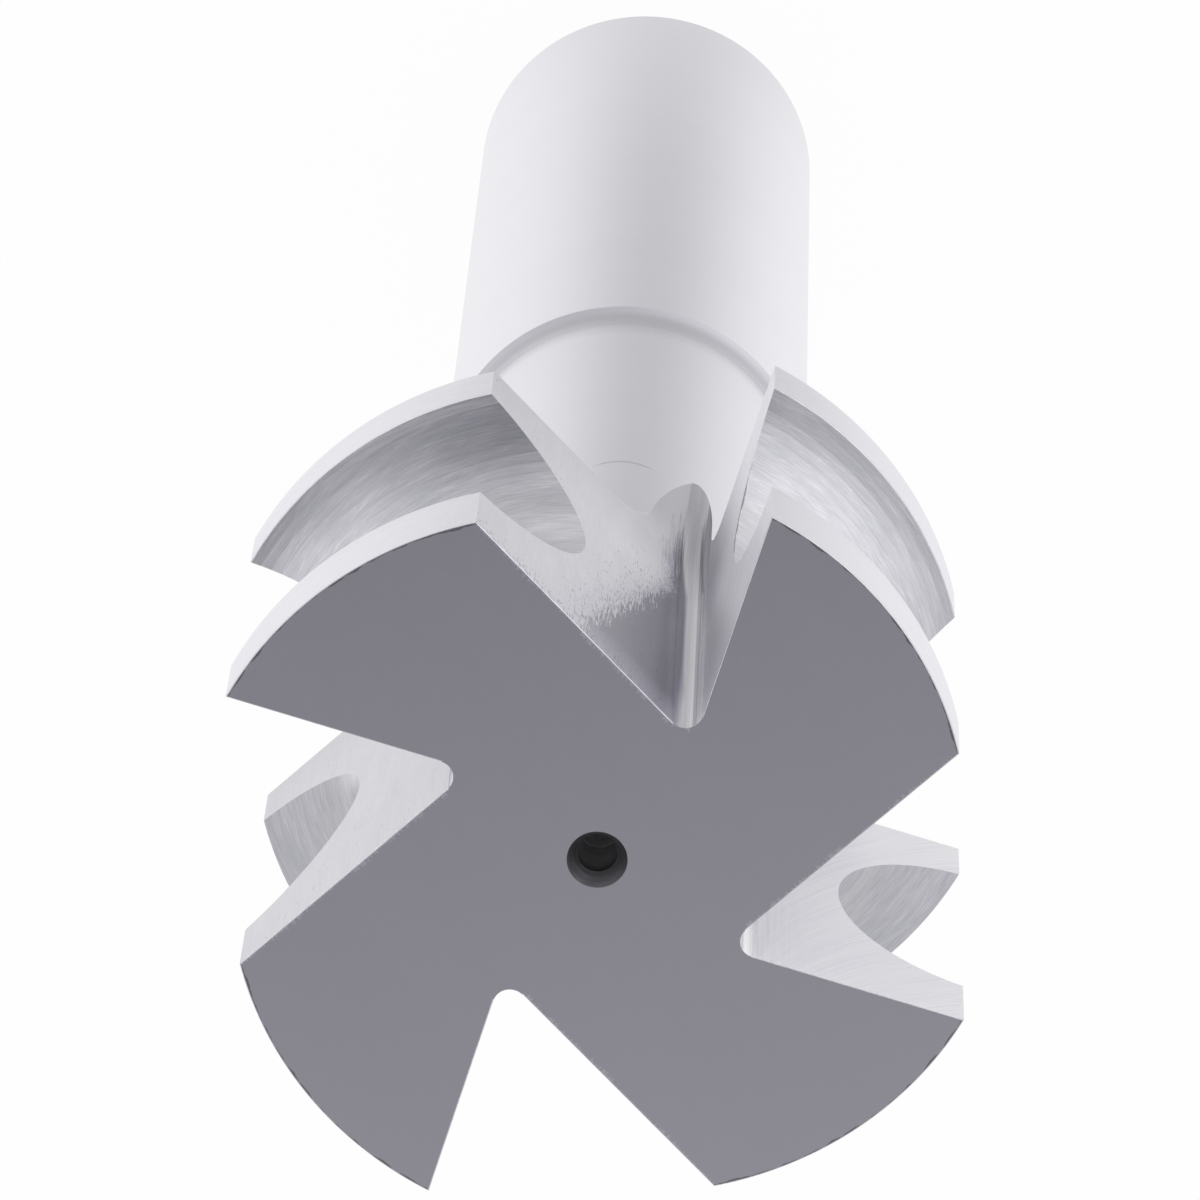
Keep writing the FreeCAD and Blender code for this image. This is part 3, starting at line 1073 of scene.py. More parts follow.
@dataclass(frozen=True)
class Scratches:
    """One set of straight scratches, broken into pieces.

    Args:
        lean: Factor on the slant at which the set crosses the lay.
        width: Width of a scratch in millimetres.
        piece: Length of a piece.
        shift: How far its noise is shifted from the first set's.
    """

    lean: float
    width: float
    piece: float
    shift: float
    length: float = 30.0
    piece_width: float = 0.25
    line_peaks: Span = (0.54, 0.66)
    piece_peaks: Span = (0.48, 0.62)

    def mask(self, vector: Signal, slant: Signal) -> Signal:
        """The peaks of long narrow noise, which are straight lines, times the peaks of shorter noise.

        Args:
            vector: Coordinates of the marks.
            slant: Slope of the scratches against them.

        Returns:
            The mask.
        """
        x, y, z = vector.parts()
        leant = vector.tree.vector(x + self.shift, x * (slant * self.lean) + y, z)
        lines = leant.noise(self.length, self.width, detail=0.0).ramp(*self.line_peaks)
        return lines * leant.noise(self.piece, self.piece_width, detail=1.0).ramp(*self.piece_peaks)


SCRATCH_SETS = (Scratches(1.0, 0.07, 1.8, 0.0), Scratches(-1.5, 0.055, 1.1, 17.0))


def scratch_group() -> bpy.types.NodeTree:
    """Fine scratches as a mask, in two sets that cross the lay at a slant.

    Returns:
        The group.
    """
    group = Group("scratches", ("Slant",), ("Mask",))
    first, second = (scratches.mask(*group.given.values()) for scratches in SCRATCH_SETS)
    return group.give(Mask=first.larger(second))


PIT_NOISE = (0.6, 0.09, 1.0)
PIT_CLUSTERS = (2.2, 1.3, 1.0)
PIT_PULL = 0.12
PIT_LEVEL = 0.78
PIT_EDGE = 0.05


def pit_group() -> bpy.types.NodeTree:
    """Small pits as a mask: the peaks of fine noise, kept where broad noise and the share given are high.

    Returns:
        The group.
    """
    group = Group("pits", ("Share",), ("Mask",))
    vector, share = group.given.values()
    peaks, clusters = vector.noise(*PIT_NOISE), vector.noise(*PIT_CLUSTERS)
    return group.give(Mask=(peaks + (clusters + share) * PIT_PULL - PIT_LEVEL).ramp(0.0, PIT_EDGE))


FROST = 0.44
FROST_HEIGHTS = (89.0, 95.0)
# Shape of the ragged line along the end face that carries a painted highlight.
BURR_NOISE = (0.5, 0.16, 2.0, 0.6)
BURR_WIDTH = (0.40, 0.66, -0.05, 0.26)
BURR_EDGE = 0.05
BOTH_SIDES = (-1.0, 1.0)


@dataclass
class Coat:
    """The values of one material while its nodes are joined.

    Args:
        tree: The material's nodes.
        pattern: Coordinates of its marks in millimetres, along and across them.
        tone: Factor on the metal's grey level.
        rough: Roughness.
        metal: Metallic value.
        blue: How far the colour turns blue.
        pitted: Share of pits.
    """

    tree: Tree
    pattern: Signal
    tone: Signal
    rough: Signal
    metal: float | Signal = 1.0
    blue: float | Signal = 0.0
    pitted: float | Signal = 0.0

    def place(self) -> list[Signal]:
        """The two lengths of the place on a tooth, in millimetres."""
        return self.tree.flow("place").parts()[:2]

    def last_tooth(self) -> Signal:
        """1 on the last tooth and its gullet and 0 elsewhere, from the shift between the two UV maps."""
        shift = self.tree.flow().parts()[0] - self.place()[0]
        return shift.maths("COMPARE", TOOTH_SHIFT[0] * (TEETH - 1), 1.0)

    def frost(self, mask: Signal) -> None:
        """Make the head's end of the face less metallic where the mask is 1."""
        self.metal = mask * self.place()[1].ramp(*FROST_HEIGHTS) * -FROST + 1.0

    def edge_highlight(self, bright: float) -> None:
        """A ragged line along the end face, up to about 0.2 mm wide, with a painted highlight that makes it
        brighter by this factor.
        """
        width = self.pattern.noise(*BURR_NOISE).ramp(*BURR_WIDTH)
        self.tone *= (self.place()[1] - BLANK.length + width).ramp(0.0, BURR_EDGE, 1.0, bright)


class Zone:
    """A feature that a finish has at one place of the surface. Its lengths are in millimetres."""

    def dress(self, coat: Coat) -> None:
        """Add the feature to a material's values."""


@dataclass(frozen=True)
class Slope:
    """A straight line over the height: its value at one height, and how much it rises to each millimetre."""

    height: float
    value: float
    rise: float

    def at(self, height: Signal) -> Signal:
        """The line's value at a height."""
        return (height - self.height) * self.rise + self.value


@dataclass(frozen=True)
class GlazeAndDarkReflection(Zone):
    """The deep part of a back wall that the cutter glazed: out to a ragged border, which rises steeply.

    The glaze is smoother and bluer, and its much darker tone is a painted dark reflection. The border's
    distance from the sharp root is the larger of two lines, of which the lower one starts from the foot's,
    with streaks along the axis and lumps added. The glaze is strongest in the last gullet, and fades outwards
    and towards the end face. The run-out's end of the wall is darker. Pits lie along the border and at the
    end face.
    """

    border_foot: Slope = Slope(84.0, 1.9, 0.3)
    border_low: Slope = Slope(84.0, 1.9, 0.06)
    border_high: Slope = Slope(92.0, 3.1, 0.364)
    border_softness: Span = (85.5, 90.0, 1.0, 0.12)
    streak_length: Span = (87.0, 91.0, 4.0, 1.4)
    streak_width: float = 0.13
    streak_grain: Span = (3.0, 0.65)
    streak_shift: Span = (0.3, 0.7, -0.9, 0.9)
    lump_size: Span = (1.1, 0.5)
    lump_shift: Span = (0.3, 0.7, -0.3, 0.3)
    strength_elsewhere: float = 0.06
    fade_at_end_face: Span = (102.8, 105.8, 1.0, 0.45)
    # Tone factors of the painted dark reflection in the glaze, at the root and further out.
    dark_reflection_at_root: Span = (1.4, 3.0, 0.17, 0.35)
    dark_reflection_further_out: Span = (3.0, 6.0, 0.0, 0.10)
    blue: Span = (1.5, 5.0, 1.5, 0.35)
    rough: float = 0.15
    darker_below: Span = (81.0, 90.0, -0.31, 0.0)
    darker_further_out: Span = (4.5, 9.0, 1.0, 0.35)
    pits_near: Span = (-3.4, -0.3)
    pits_inside: Span = (-0.1, 0.2, 1.0, 0.0)
    pits_at_end_face: Span = (BLANK.length - 2.0, BLANK.length - 0.3, 0.0, 0.9)
    pits_above: Span = (87.0, 90.0)
    pits_out: Span = (2.0, 3.2)
    pit_share: float = 1.35
    # Brightness of the painted highlight along the end face.
    edge_highlight: float = 1.22

    def dress(self, coat: Coat) -> None:
        """Add the glaze with its painted dark reflection, its pits, the darker end and the painted highlight
        at the end face.

        Args:
            coat: The material's values.
        """
        out, height = coat.place()
        length = height.ramp(*self.streak_length)
        streaks = coat.pattern.noise(length, self.streak_width, *self.streak_grain).ramp(*self.streak_shift)
        lumps = coat.pattern.noise(*self.lump_size).ramp(*self.lump_shift)
        border = self.border_low.at(height).smaller(self.border_foot.at(height))
        gap = border.larger(self.border_high.at(height)) + (streaks + lumps) - out
        strength = coat.last_tooth().ramp(0.0, 1.0, self.strength_elsewhere)
        near = gap.ramp(*self.pits_near) * gap.ramp(*self.pits_inside)
        pitted = near.larger(height.ramp(*self.pits_at_end_face)) * strength * height.ramp(*self.pits_above)
        coat.pitted = pitted * out.ramp(*self.pits_out) * self.pit_share
        mask = (gap / height.ramp(*self.border_softness)).ramp(*BOTH_SIDES) * strength
        mask *= height.ramp(*self.fade_at_end_face)
        # Painted dark reflection: the glaze's tone, darkest at the root.
        depth = out.ramp(*self.dark_reflection_at_root) + out.ramp(*self.dark_reflection_further_out)
        # Darker towards the run-out's end of the wall.
        darker_end = height.ramp(*self.darker_below) * out.ramp(*self.darker_further_out)
        coat.tone *= coat.tree.mixed(mask, 1.0, depth) * (darker_end + 1.0)
        coat.blue = mask * out.ramp(*self.blue)
        coat.rough = coat.tree.mixed(mask, coat.rough, self.rough)
        coat.edge_highlight(self.edge_highlight)


@dataclass(frozen=True)
class RootBorders(Zone):
    """The root's light stripe, the dark line beside it and its darker side towards the back wall.

    The stripe is a painted highlight, and the darker side is a painted dark reflection that goes on in the
    run-out. All follow from the length round its fillet, which starts at the cutting face, and the height.
    The line ends about half way up. The darker side starts at the largest of three distances.
    """

    stripe: Span = (0.66, 0.90, 1.02, 1.18)
    stripe_at_face: Span = (0.45, 0.62, 1.5, 1.0)
    stripe_below: Span = (84.0, 90.0, 0.78, 1.0)
    stripe_above: Span = (98.0, 105.0, 1.0, 1.14)
    line: Slope = Slope(80.8, 0.76, -0.037)
    line_tone: Span = (0.03, 0.13, 0.66, 1.0)
    line_middle: float = 84.3
    line_ends: Span = (3.0, 4.6)
    side_foot: Slope = Slope(84.0, 1.7, -0.07)
    side_start: float = 1.36
    side_head: Slope = Slope(101.0, 1.36, 0.06)
    side_softness: Span = (98.0, 102.0, 0.10, 0.24)
    side_shade: float = 0.67
    above_run_out: Span = (78.5, 82.0)
    run_out_tone: Span = (1.2, 1.7, 0.92, 0.66)
    frosted: Span = (0.45, 0.75, 1.0, 0.0)

    def dress(self, coat: Coat) -> None:
        """Add the stripe's painted highlight, the line, the side's painted dark reflection, and the frost of
        the side at the cutting face.

        Args:
            coat: The material's values.
        """
        length, height = coat.place()
        # Painted highlight: the light stripe along the root.
        stripe = length.ramp(*self.stripe) * length.ramp(*self.stripe_at_face)
        stripe *= height.ramp(*self.stripe_below) * height.ramp(*self.stripe_above)
        # Painted dark reflection: the side towards the back wall.
        border = self.side_foot.at(height).larger(self.side_head.at(height)).larger(self.side_start)
        side = ((length - border) / height.ramp(*self.side_softness)).ramp(*BOTH_SIDES)
        line = abs(length - self.line.at(height)).ramp(*self.line_tone)
        line = line.larger(abs(height - self.line_middle).ramp(*self.line_ends))
        # In the run-out the tone gets darker towards the back wall, the same painted dark reflection.
        inside = height.ramp(*self.above_run_out)
        marked = stripe * (side * -self.side_shade + 1.0) * line
        coat.tone *= coat.tree.mixed(inside, length.ramp(*self.run_out_tone), marked)
        coat.blue = side * inside
        coat.frost(length.ramp(*self.frosted))


@dataclass(frozen=True)
class FaceFoot(Zone):
    """The frosted foot of a cutting face, darker by the root and lighter further out, with upright streaks,
    and the painted highlight along the end face.
    """

    darker_out: Span = (1.5, 2.8, -0.08, -0.20)
    lighter_out: Span = (3.0, 8.0, 0.0, 0.20)
    fade_above: Span = (89.0, 95.0, 1.0, 0.0)
    streak_noise: Span = (0.14, 6.0, 3.0, 0.6)
    streak_range: Span = (0.3, 0.7, -1.0, 1.0)
    streaks_out: Span = (1.8, 4.5, 0.08, 0.0)
    frosted: Span = (1.5, 7.0, 1.0, 0.3)
    # Brightness of the painted highlight along the end face.
    edge_highlight: float = 1.4

    def dress(self, coat: Coat) -> None:
        """Add the foot's tone, its streaks and frost, and the painted highlight along the end face.

        Args:
            coat: The material's values.
        """
        out, height = coat.place()
        out -= GULLET.root_x
        foot = out.ramp(*self.darker_out) + out.ramp(*self.lighter_out)
        streaks = coat.tree.flow().noise(*self.streak_noise).ramp(*self.streak_range)
        coat.tone *= foot * height.ramp(*self.fade_above) + 1.0
        coat.tone *= streaks * out.ramp(*self.streaks_out) + 1.0
        coat.edge_highlight(self.edge_highlight)
        coat.frost(out.ramp(*self.frosted))


@dataclass(frozen=True)
class FormEdge(Zone):
    """The thin broken dark line along the last form's cutting edge, by the distance from that edge."""

    noise_row: float = 0.5
    piece: float = 1 / 0.9
    width: Span = (0.35, 0.65, 0.03, 0.13)
    softness: Span = (-0.01, 0.03, 1.0, 0.0)
    start: Span = (-6.6, -5.4)
    fade: Span = (-1.5, 1.0, 1.0, 0.5)
    shade: float = 0.55

    def dress(self, coat: Coat) -> None:
        """Add the line.

        Args:
            coat: The material's values.
        """
        out, across = coat.place()
        width = coat.tree.vector(self.noise_row, across).noise(1.0, self.piece).ramp(*self.width)
        line = (abs(out) - width).ramp(*self.softness)
        seen = across.ramp(*self.start) * across.ramp(*self.fade) * coat.last_tooth()
        coat.tone *= line * seen * -self.shade + 1.0


@dataclass(frozen=True)
class EndRim(Zone):
    """The thin dark line inside the end face's rim, and the heel's burr, whose points reach over its edge.

    The line follows the distance from the land's own axis. The points are up to about 0.3 mm long, and a
    painted highlight makes them brighter.
    """

    line_noise: Span = (0.9, 0.9)
    line_width: Span = (0.35, 0.65, 0.07, 0.20)
    line_tone: Span = (0.0, 0.03, 1.0, 0.50)
    point_noise: Span = (0.11, 0.45, 2.0, 0.6)
    point_length: Span = (0.42, 0.72, 0.04, 0.36)
    stretch_noise: Span = (2.6, 2.6, 1.0)
    stretch_share: Span = (0.35, 0.6, 0.4, 1.0)
    start: Span = (1.8, 3.2, -0.4, 0.0)
    lap: float = 0.03
    point_tone: Span = (0.0, 0.04, 1.0, 1.26)

    def dress(self, coat: Coat) -> None:
        """Add the line and the burr's points with their painted highlight.

        Args:
            coat: The material's values.
        """
        along, side = coat.place()
        where = coat.tree.vector(along, side)
        x, y = (float(value) for value in TOOTH.centre(TOOTH.land_eccentricity))
        width = where.noise(*self.line_noise).ramp(*self.line_width)
        inner = coat.tree.length(along - x, side - y) - TOOTH.land_radius + width
        coat.tone *= inner.ramp(*self.line_tone)
        points = where.noise(*self.point_noise).ramp(*self.point_length)
        stretches = where.noise(*self.stretch_noise).ramp(*self.stretch_share)
        width = points * stretches + along.ramp(*self.start)
        # Painted highlight: the burr's points are brighter.
        coat.tone *= (width + (GULLET.heel_line + self.lap) - side).ramp(*self.point_tone)


@dataclass(frozen=True)
class NeckMarks(Zone):
    """A short curved dark mark on the neck, and the rougher fillet at the neck's lower end, with a painted
    reflection.

    The mark is a parabola in the length round the neck and the height. The fillet between the neck and the
    shank has a painted reflection, darker over it and a little above it and lighter at its lower edge. Its
    spans count the height from the shank's end.
    """

    dark_arc_place: tuple[float, float] = (-7.6, 75.7)
    dark_arc_half: float = 1.7
    dark_arc_end: float = 0.6
    dark_arc_bow: float = 0.25
    dark_arc_width: Span = (0.03, 0.16, 1.0, 0.0)
    dark_arc_tone: float = 0.74
    fillet_middle: float = 0.62
    fillet_inside: Span = (0.05, 0.45, 0.93, 1.0)
    fillet_edge: Span = (0.1, 0.5, 1.14, 1.0)
    fillet_above: Span = (0.9, 3.0, 0.82, 1.0)
    fillet_mask: Span = (0.8, 1.6, 1.0, 0.0)
    fillet_rough: float = 0.5

    def dress(self, coat: Coat) -> None:
        """Add the curved dark mark, the fillet's painted reflection and its roughness.

        Args:
            coat: The material's values.
        """
        x, y, z = coat.tree.spot().parts()
        along = y.maths("ARCTAN2", x) * BLANK.neck_radius - self.dark_arc_place[0]
        off = abs(z - self.dark_arc_place[1] - along * along * self.dark_arc_bow)
        ends = abs(along).ramp(self.dark_arc_half - self.dark_arc_end, self.dark_arc_half, 1.0, 0.0)
        coat.tone *= (off.ramp(*self.dark_arc_width) * ends).ramp(0.0, 1.0, 1.0, self.dark_arc_tone)
        height = z - BLANK.shank_length
        # Painted reflection on the fillet: darker over it and a little above it, lighter at its lower edge.
        fillet = abs(height - self.fillet_middle).ramp(*self.fillet_inside) * height.ramp(*self.fillet_edge)
        coat.tone *= fillet * height.ramp(*self.fillet_above)
        coat.rough = coat.tree.mixed(height.ramp(*self.fillet_mask), coat.rough, self.fillet_rough)


@dataclass(frozen=True)
class Pilot(Zone):
    """The unpolished pilot of a centre hole, dark with painted shade, darkest at its mouth, by the depth from
    the nearer end.
    """

    border: float = 0.04
    wall_tone: Span = (0.9, 3.8, 0.03, 1.25)
    point_tone: Span = (3.86, 3.9, 1.0, 0.48)
    rough: float = 0.8

    def dress(self, coat: Coat) -> None:
        """Paint shade into the pilot, and make it rough and not metallic.

        Args:
            coat: The material's values.
        """
        x, y, z = coat.tree.spot().parts()
        bore = coat.tree.length(x, y).ramp(FACE_CENTRE.pilot, FACE_CENTRE.pilot + self.border, 1.0, 0.0)
        deep = abs(z - BLANK.length / 2) * -1.0 + BLANK.length / 2
        # Painted shade of the deep, narrow bore.
        tone = deep.ramp(*self.wall_tone) * deep.ramp(*self.point_tone)
        coat.tone *= bore * (tone - 1.0) + 1.0
        coat.rough = coat.tree.mixed(bore, coat.rough, self.rough)
        coat.metal = bore * -1.0 + 1.0


class Lay(Enum):
    """How the marks of a finish run over the surface."""

    ALONG = "along the flow"
    ACROSS = "across the flow"
    DISC = "in the arcs of the angle cutter's side"
    AROUND = "round the axis"
    RINGS = "in rings about the axis"
    STRAIGHT = "straight across"


@dataclass(frozen=True)
class Finish:
    """A machined finish: the metal's colour with lay marks, patches, scratches and pits.

    Args:
        name: Name of the material.
        tone: Grey level of the metal, 0 to 1.
        tint: Factors on red, green and blue.
        lay: How the marks run.
        length: Length of a mark in millimetres.
        width: Width of a mark.
        spread: How far the marks darken and lighten the metal.
        patches: How far broad patches do.
        patch: Size of a patch in millimetres.
        warmth: How far the patches turn the colour from cool to warm.
        scratches: How much lighter a scratch is.
        slant: Slope of the scratches against the marks.
        pits: How much darker a pit is.
        rough: Roughness in the middle of its range.
        rough_spread: Half of that range.
        relief: Depth of the marks in micrometres.
        zone: What it has at one place.
    """

    name: str
    tone: float
    tint: tuple[float, float, float] = (0.985, 0.98, 1.035)
    lay: Lay = Lay.ALONG
    length: float = 6.0
    width: float = 0.15
    spread: float = 0.04
    patches: float = 0.03
    patch: float = 3.0
    warmth: float = 0.0
    scratches: float = 0.0
    slant: float = 0.1
    pits: float = 0.0
    rough: float = 0.3
    rough_spread: float = 0.04
    relief: float = 1.0
    zone: Zone = Zone()


WARM_RANGE = (0.40, 0.72)
WARM_HUE = (1.0, 0.4, -1.0)
GLAZE_HUE = (0.0, -0.05, 0.09)
PIT_DEPTH = 3.0
MICROMETRE = 1e-6


class Workshop:
    """Makes the cutter's materials from their finishes."""

    def __init__(self) -> None:
        """Build the shared groups."""
        self.lay, self.scratches, self.pits = lay_group(), scratch_group(), pit_group()

    def pattern(self, tree: Tree, lay: Lay) -> Signal:
        """A pattern's coordinates in millimetres: the lay runs along the first, and the second is across it.

        The disc's arcs are lines of equal (z plus the root of (the disc's radius squared less the distance
        from its axis squared)), as its teeth leave them while it feeds along the axis.

        Args:
            tree: The material's nodes.
            lay: How the marks run.

        Returns:
            The coordinates.
        """
        if lay in (Lay.AROUND, Lay.RINGS, Lay.STRAIGHT):
            spot = tree.spot()
            if lay is Lay.STRAIGHT:
                return spot
            x, y, z = spot.parts()
            return tree.vector(x, tree.length(x, y) if lay is Lay.RINGS else z, y)
        flow = tree.flow()
        if lay is Lay.ALONG:
            return flow
        first, second, _ = flow.parts()
        if lay is Lay.ACROSS:
            return tree.vector(second, first)
        from_axis = tree.flow("place").parts()[0] - GULLET.disc_x
        squared = from_axis * from_axis * -1.0 + GULLET.disc_radius ** 2
        return tree.vector(first, second + squared.larger(0.0).maths("SQRT"))

    def material(self, finish: Finish) -> bpy.types.Material:
        """A material of a finish.

        Its colour is the tone times one factor each for the marks, the patches, the scratches, the pits and
        the zone, and the tint.

        Args:
            finish: The finish.

        Returns:
            The material.
        """
        material = bpy.data.materials.new(finish.name)
        material.use_nodes = True
        tree = Tree(material.node_tree)
        pattern = self.pattern(tree, finish.lay)
        sizes = {"Vector": pattern, "Length": finish.length, "Width": finish.width, "Patch": finish.patch}
        lay = tree.add("ShaderNodeGroup", sizes, node_tree=self.lay)
        marks, patches = Signal(tree, lay.outputs["Marks"]), Signal(tree, lay.outputs["Patches"])
        tone = marks.swing(1.0, finish.spread) * patches.swing(1.0, finish.patches)
        coat = Coat(tree, pattern, tone, marks.swing(finish.rough, finish.rough_spread))
        finish.zone.dress(coat)
        height = marks
        if finish.scratches:
            inputs = {"Vector": pattern, "Slant": finish.slant}
            scratches = tree.out("ShaderNodeGroup", inputs, node_tree=self.scratches)
            coat.tone *= scratches * finish.scratches + 1.0
        if finish.pits:
            pits = tree.out("ShaderNodeGroup", {"Vector": pattern, "Share": coat.pitted}, node_tree=self.pits)
            coat.tone *= pits * -finish.pits + 1.0
            height = pits * -PIT_DEPTH + height
        warm = patches.ramp(*WARM_RANGE, 0.0, finish.warmth)
        tone = coat.tone * finish.tone
        channels = [tone * (warm * hot + tint + coat.blue * cold)
                    for hot, cold, tint in zip(WARM_HUE, GLAZE_HUE, finish.tint)]
        depth = finish.relief * MICROMETRE
        shader = tree.out("ShaderNodeBsdfPrincipled", {
            "Base Color": tree.out("ShaderNodeCombineColor", dict(enumerate(channels))),
            "Roughness": coat.rough,
            "Metallic": coat.metal,
            "Normal": tree.out("ShaderNodeBump", {"Height": height, "Strength": 1.0, "Distance": depth}),
        })
        tree.add("ShaderNodeOutputMaterial", {"Surface": shader})
        return material


FINISHES = {
    Region.END_FACE: Finish("ground_end_face", 0.60, tint=(0.985, 0.97, 1.05), lay=Lay.STRAIGHT, length=1.2,
                            width=0.05, spread=0.010, patches=0.012, patch=6.0, rough=0.30, rough_spread=0.02,
                            relief=0.2, zone=EndRim()),
    Region.LAND: Finish("relieved_land", 0.90, length=0.5, width=0.08, spread=0.055, patches=0.02, rough=0.32,
                        relief=0.9, scratches=0.05),
    Region.FORM: Finish("relieved_form", 0.785, length=2.6, width=0.085, spread=0.14, patches=0.085,
                        patch=0.75, warmth=0.02, scratches=0.12, slant=0.12, rough=0.34, relief=1.3,
                        zone=FormEdge()),
    Region.CUTTING_FACE: Finish("ground_cutting_face", 0.96, lay=Lay.DISC, length=7.0, width=0.11,
                                spread=0.11, rough=0.42, relief=1.4, scratches=0.04, zone=FaceFoot()),
    Region.ROOT: Finish("milled_root", 0.60, lay=Lay.ACROSS, width=0.12, spread=0.05, rough=0.24,
                        zone=RootBorders()),
    Region.BACK_WALL: Finish("milled_back_wall", 0.74, lay=Lay.ACROSS, length=2.2, width=0.085, spread=0.075,
                             patch=1.0, rough=0.34, relief=1.8, pits=0.36, zone=GlazeAndDarkReflection()),
    Region.RUN_OUT: Finish("milled_run_out", 0.74, lay=Lay.ACROSS, length=3.0, width=0.10, patch=1.0,
                           zone=GlazeAndDarkReflection()),
    Region.BACK_FACE: Finish("turned_back_face", 0.74, lay=Lay.RINGS, length=9.0, width=0.12, spread=0.06,
                             rough=0.33, relief=2.0),
    Region.NECK: Finish("turned_neck", 0.88, lay=Lay.AROUND, length=12.0, width=0.07, spread=0.004,
                        patches=0.012, patch=5.0, rough=0.27, rough_spread=0.003, relief=0.01,
                        zone=NeckMarks()),
    Region.SHANK: Finish("ground_shank", 0.90, lay=Lay.AROUND, length=14.0, width=0.06, spread=0.008,
                         patches=0.012, patch=5.0, rough=0.25, rough_spread=0.008, relief=0.03),
    Region.SHANK_END: Finish("turned_shank_end", 0.74, lay=Lay.RINGS, length=9.0, width=0.14, spread=0.06,
                             rough=0.33, relief=2.0),
    Region.CENTRE_HOLE: Finish("drilled_centre", 0.31, lay=Lay.AROUND, length=2.0, width=0.10, spread=0.20,
                               patches=0.22, patch=0.3, rough=0.42, relief=2.0, zone=Pilot()),
    Region.EDGE: Finish("broken_edge", 0.84, length=0.6, width=0.1, spread=0.22, rough=0.24, relief=0.6),
}


@dataclass(frozen=True)
class Eye:
    """The camera of the photograph: it looks steeply down on the head, with the shank's end behind it.

    Args:
        place: Its place in millimetres.
        right: The direction of the picture's right side.
        back: The direction from the object to the camera.
        lens: Focal length in millimetres.
        sensor: Width of the sensor in millimetres.
        clip: Nearest and furthest distance that it sees, in metres.
    """

    place: tuple[float, float, float] = (110.6008, -115.8277, 474.8397)
    right: tuple[float, float, float] = (-0.676419, -0.735988, -0.027913)
    back: tuple[float, float, float] = (0.253484, -0.268217, 0.929411)
    lens: float = 245.548
    sensor: float = 36.0
    clip: tuple[float, float] = (0.02, 20.0)

    def build(self) -> None:
        """Make the camera and set it as the scene's."""
        data = bpy.data.cameras.new("eye")
        data.sensor_width, data.lens = self.sensor, self.lens
        data.clip_start, data.clip_end = self.clip
        camera = bpy.data.objects.new("eye", data)
        back = Vector(self.back).normalized()
        up = back.cross(Vector(self.right)).normalized()
        turn = Matrix((up.cross(back), up, back)).transposed().to_4x4()
        camera.matrix_world = Matrix.Translation(Vector(self.place) * MM) @ turn
        bpy.context.scene.collection.objects.link(camera)
        bpy.context.scene.camera = camera


@dataclass(frozen=True)
class Panel:
    """A soft bright or dark stretch of the room, which falls off with the angle from its middle.

    The level is multiplied by exp(k (cosine of that angle - 1)).

    Args:
        azimuth: Its direction round the axis, in degrees.
        elevation: Its height above the horizon, in degrees.
        level: What it adds to the room's light there.
        tightness: The k of its formula.
    """

    azimuth: float
    elevation: float
    level: float
    tightness: float

    def light(self, way: Signal) -> Signal:
        """What the panel adds in a direction.

        Args:
            way: The direction.

        Returns:
            The level that it adds.
        """
        rise = math.radians(self.elevation)
        towards = (*polar(math.cos(rise), self.azimuth), math.sin(rise))
        cosine = way.tree.out("ShaderNodeVectorMath", {0: way, 1: towards}, "Value", operation="DOT_PRODUCT")
        return ((cosine - 1.0) * self.tightness).maths("EXPONENT") * self.level


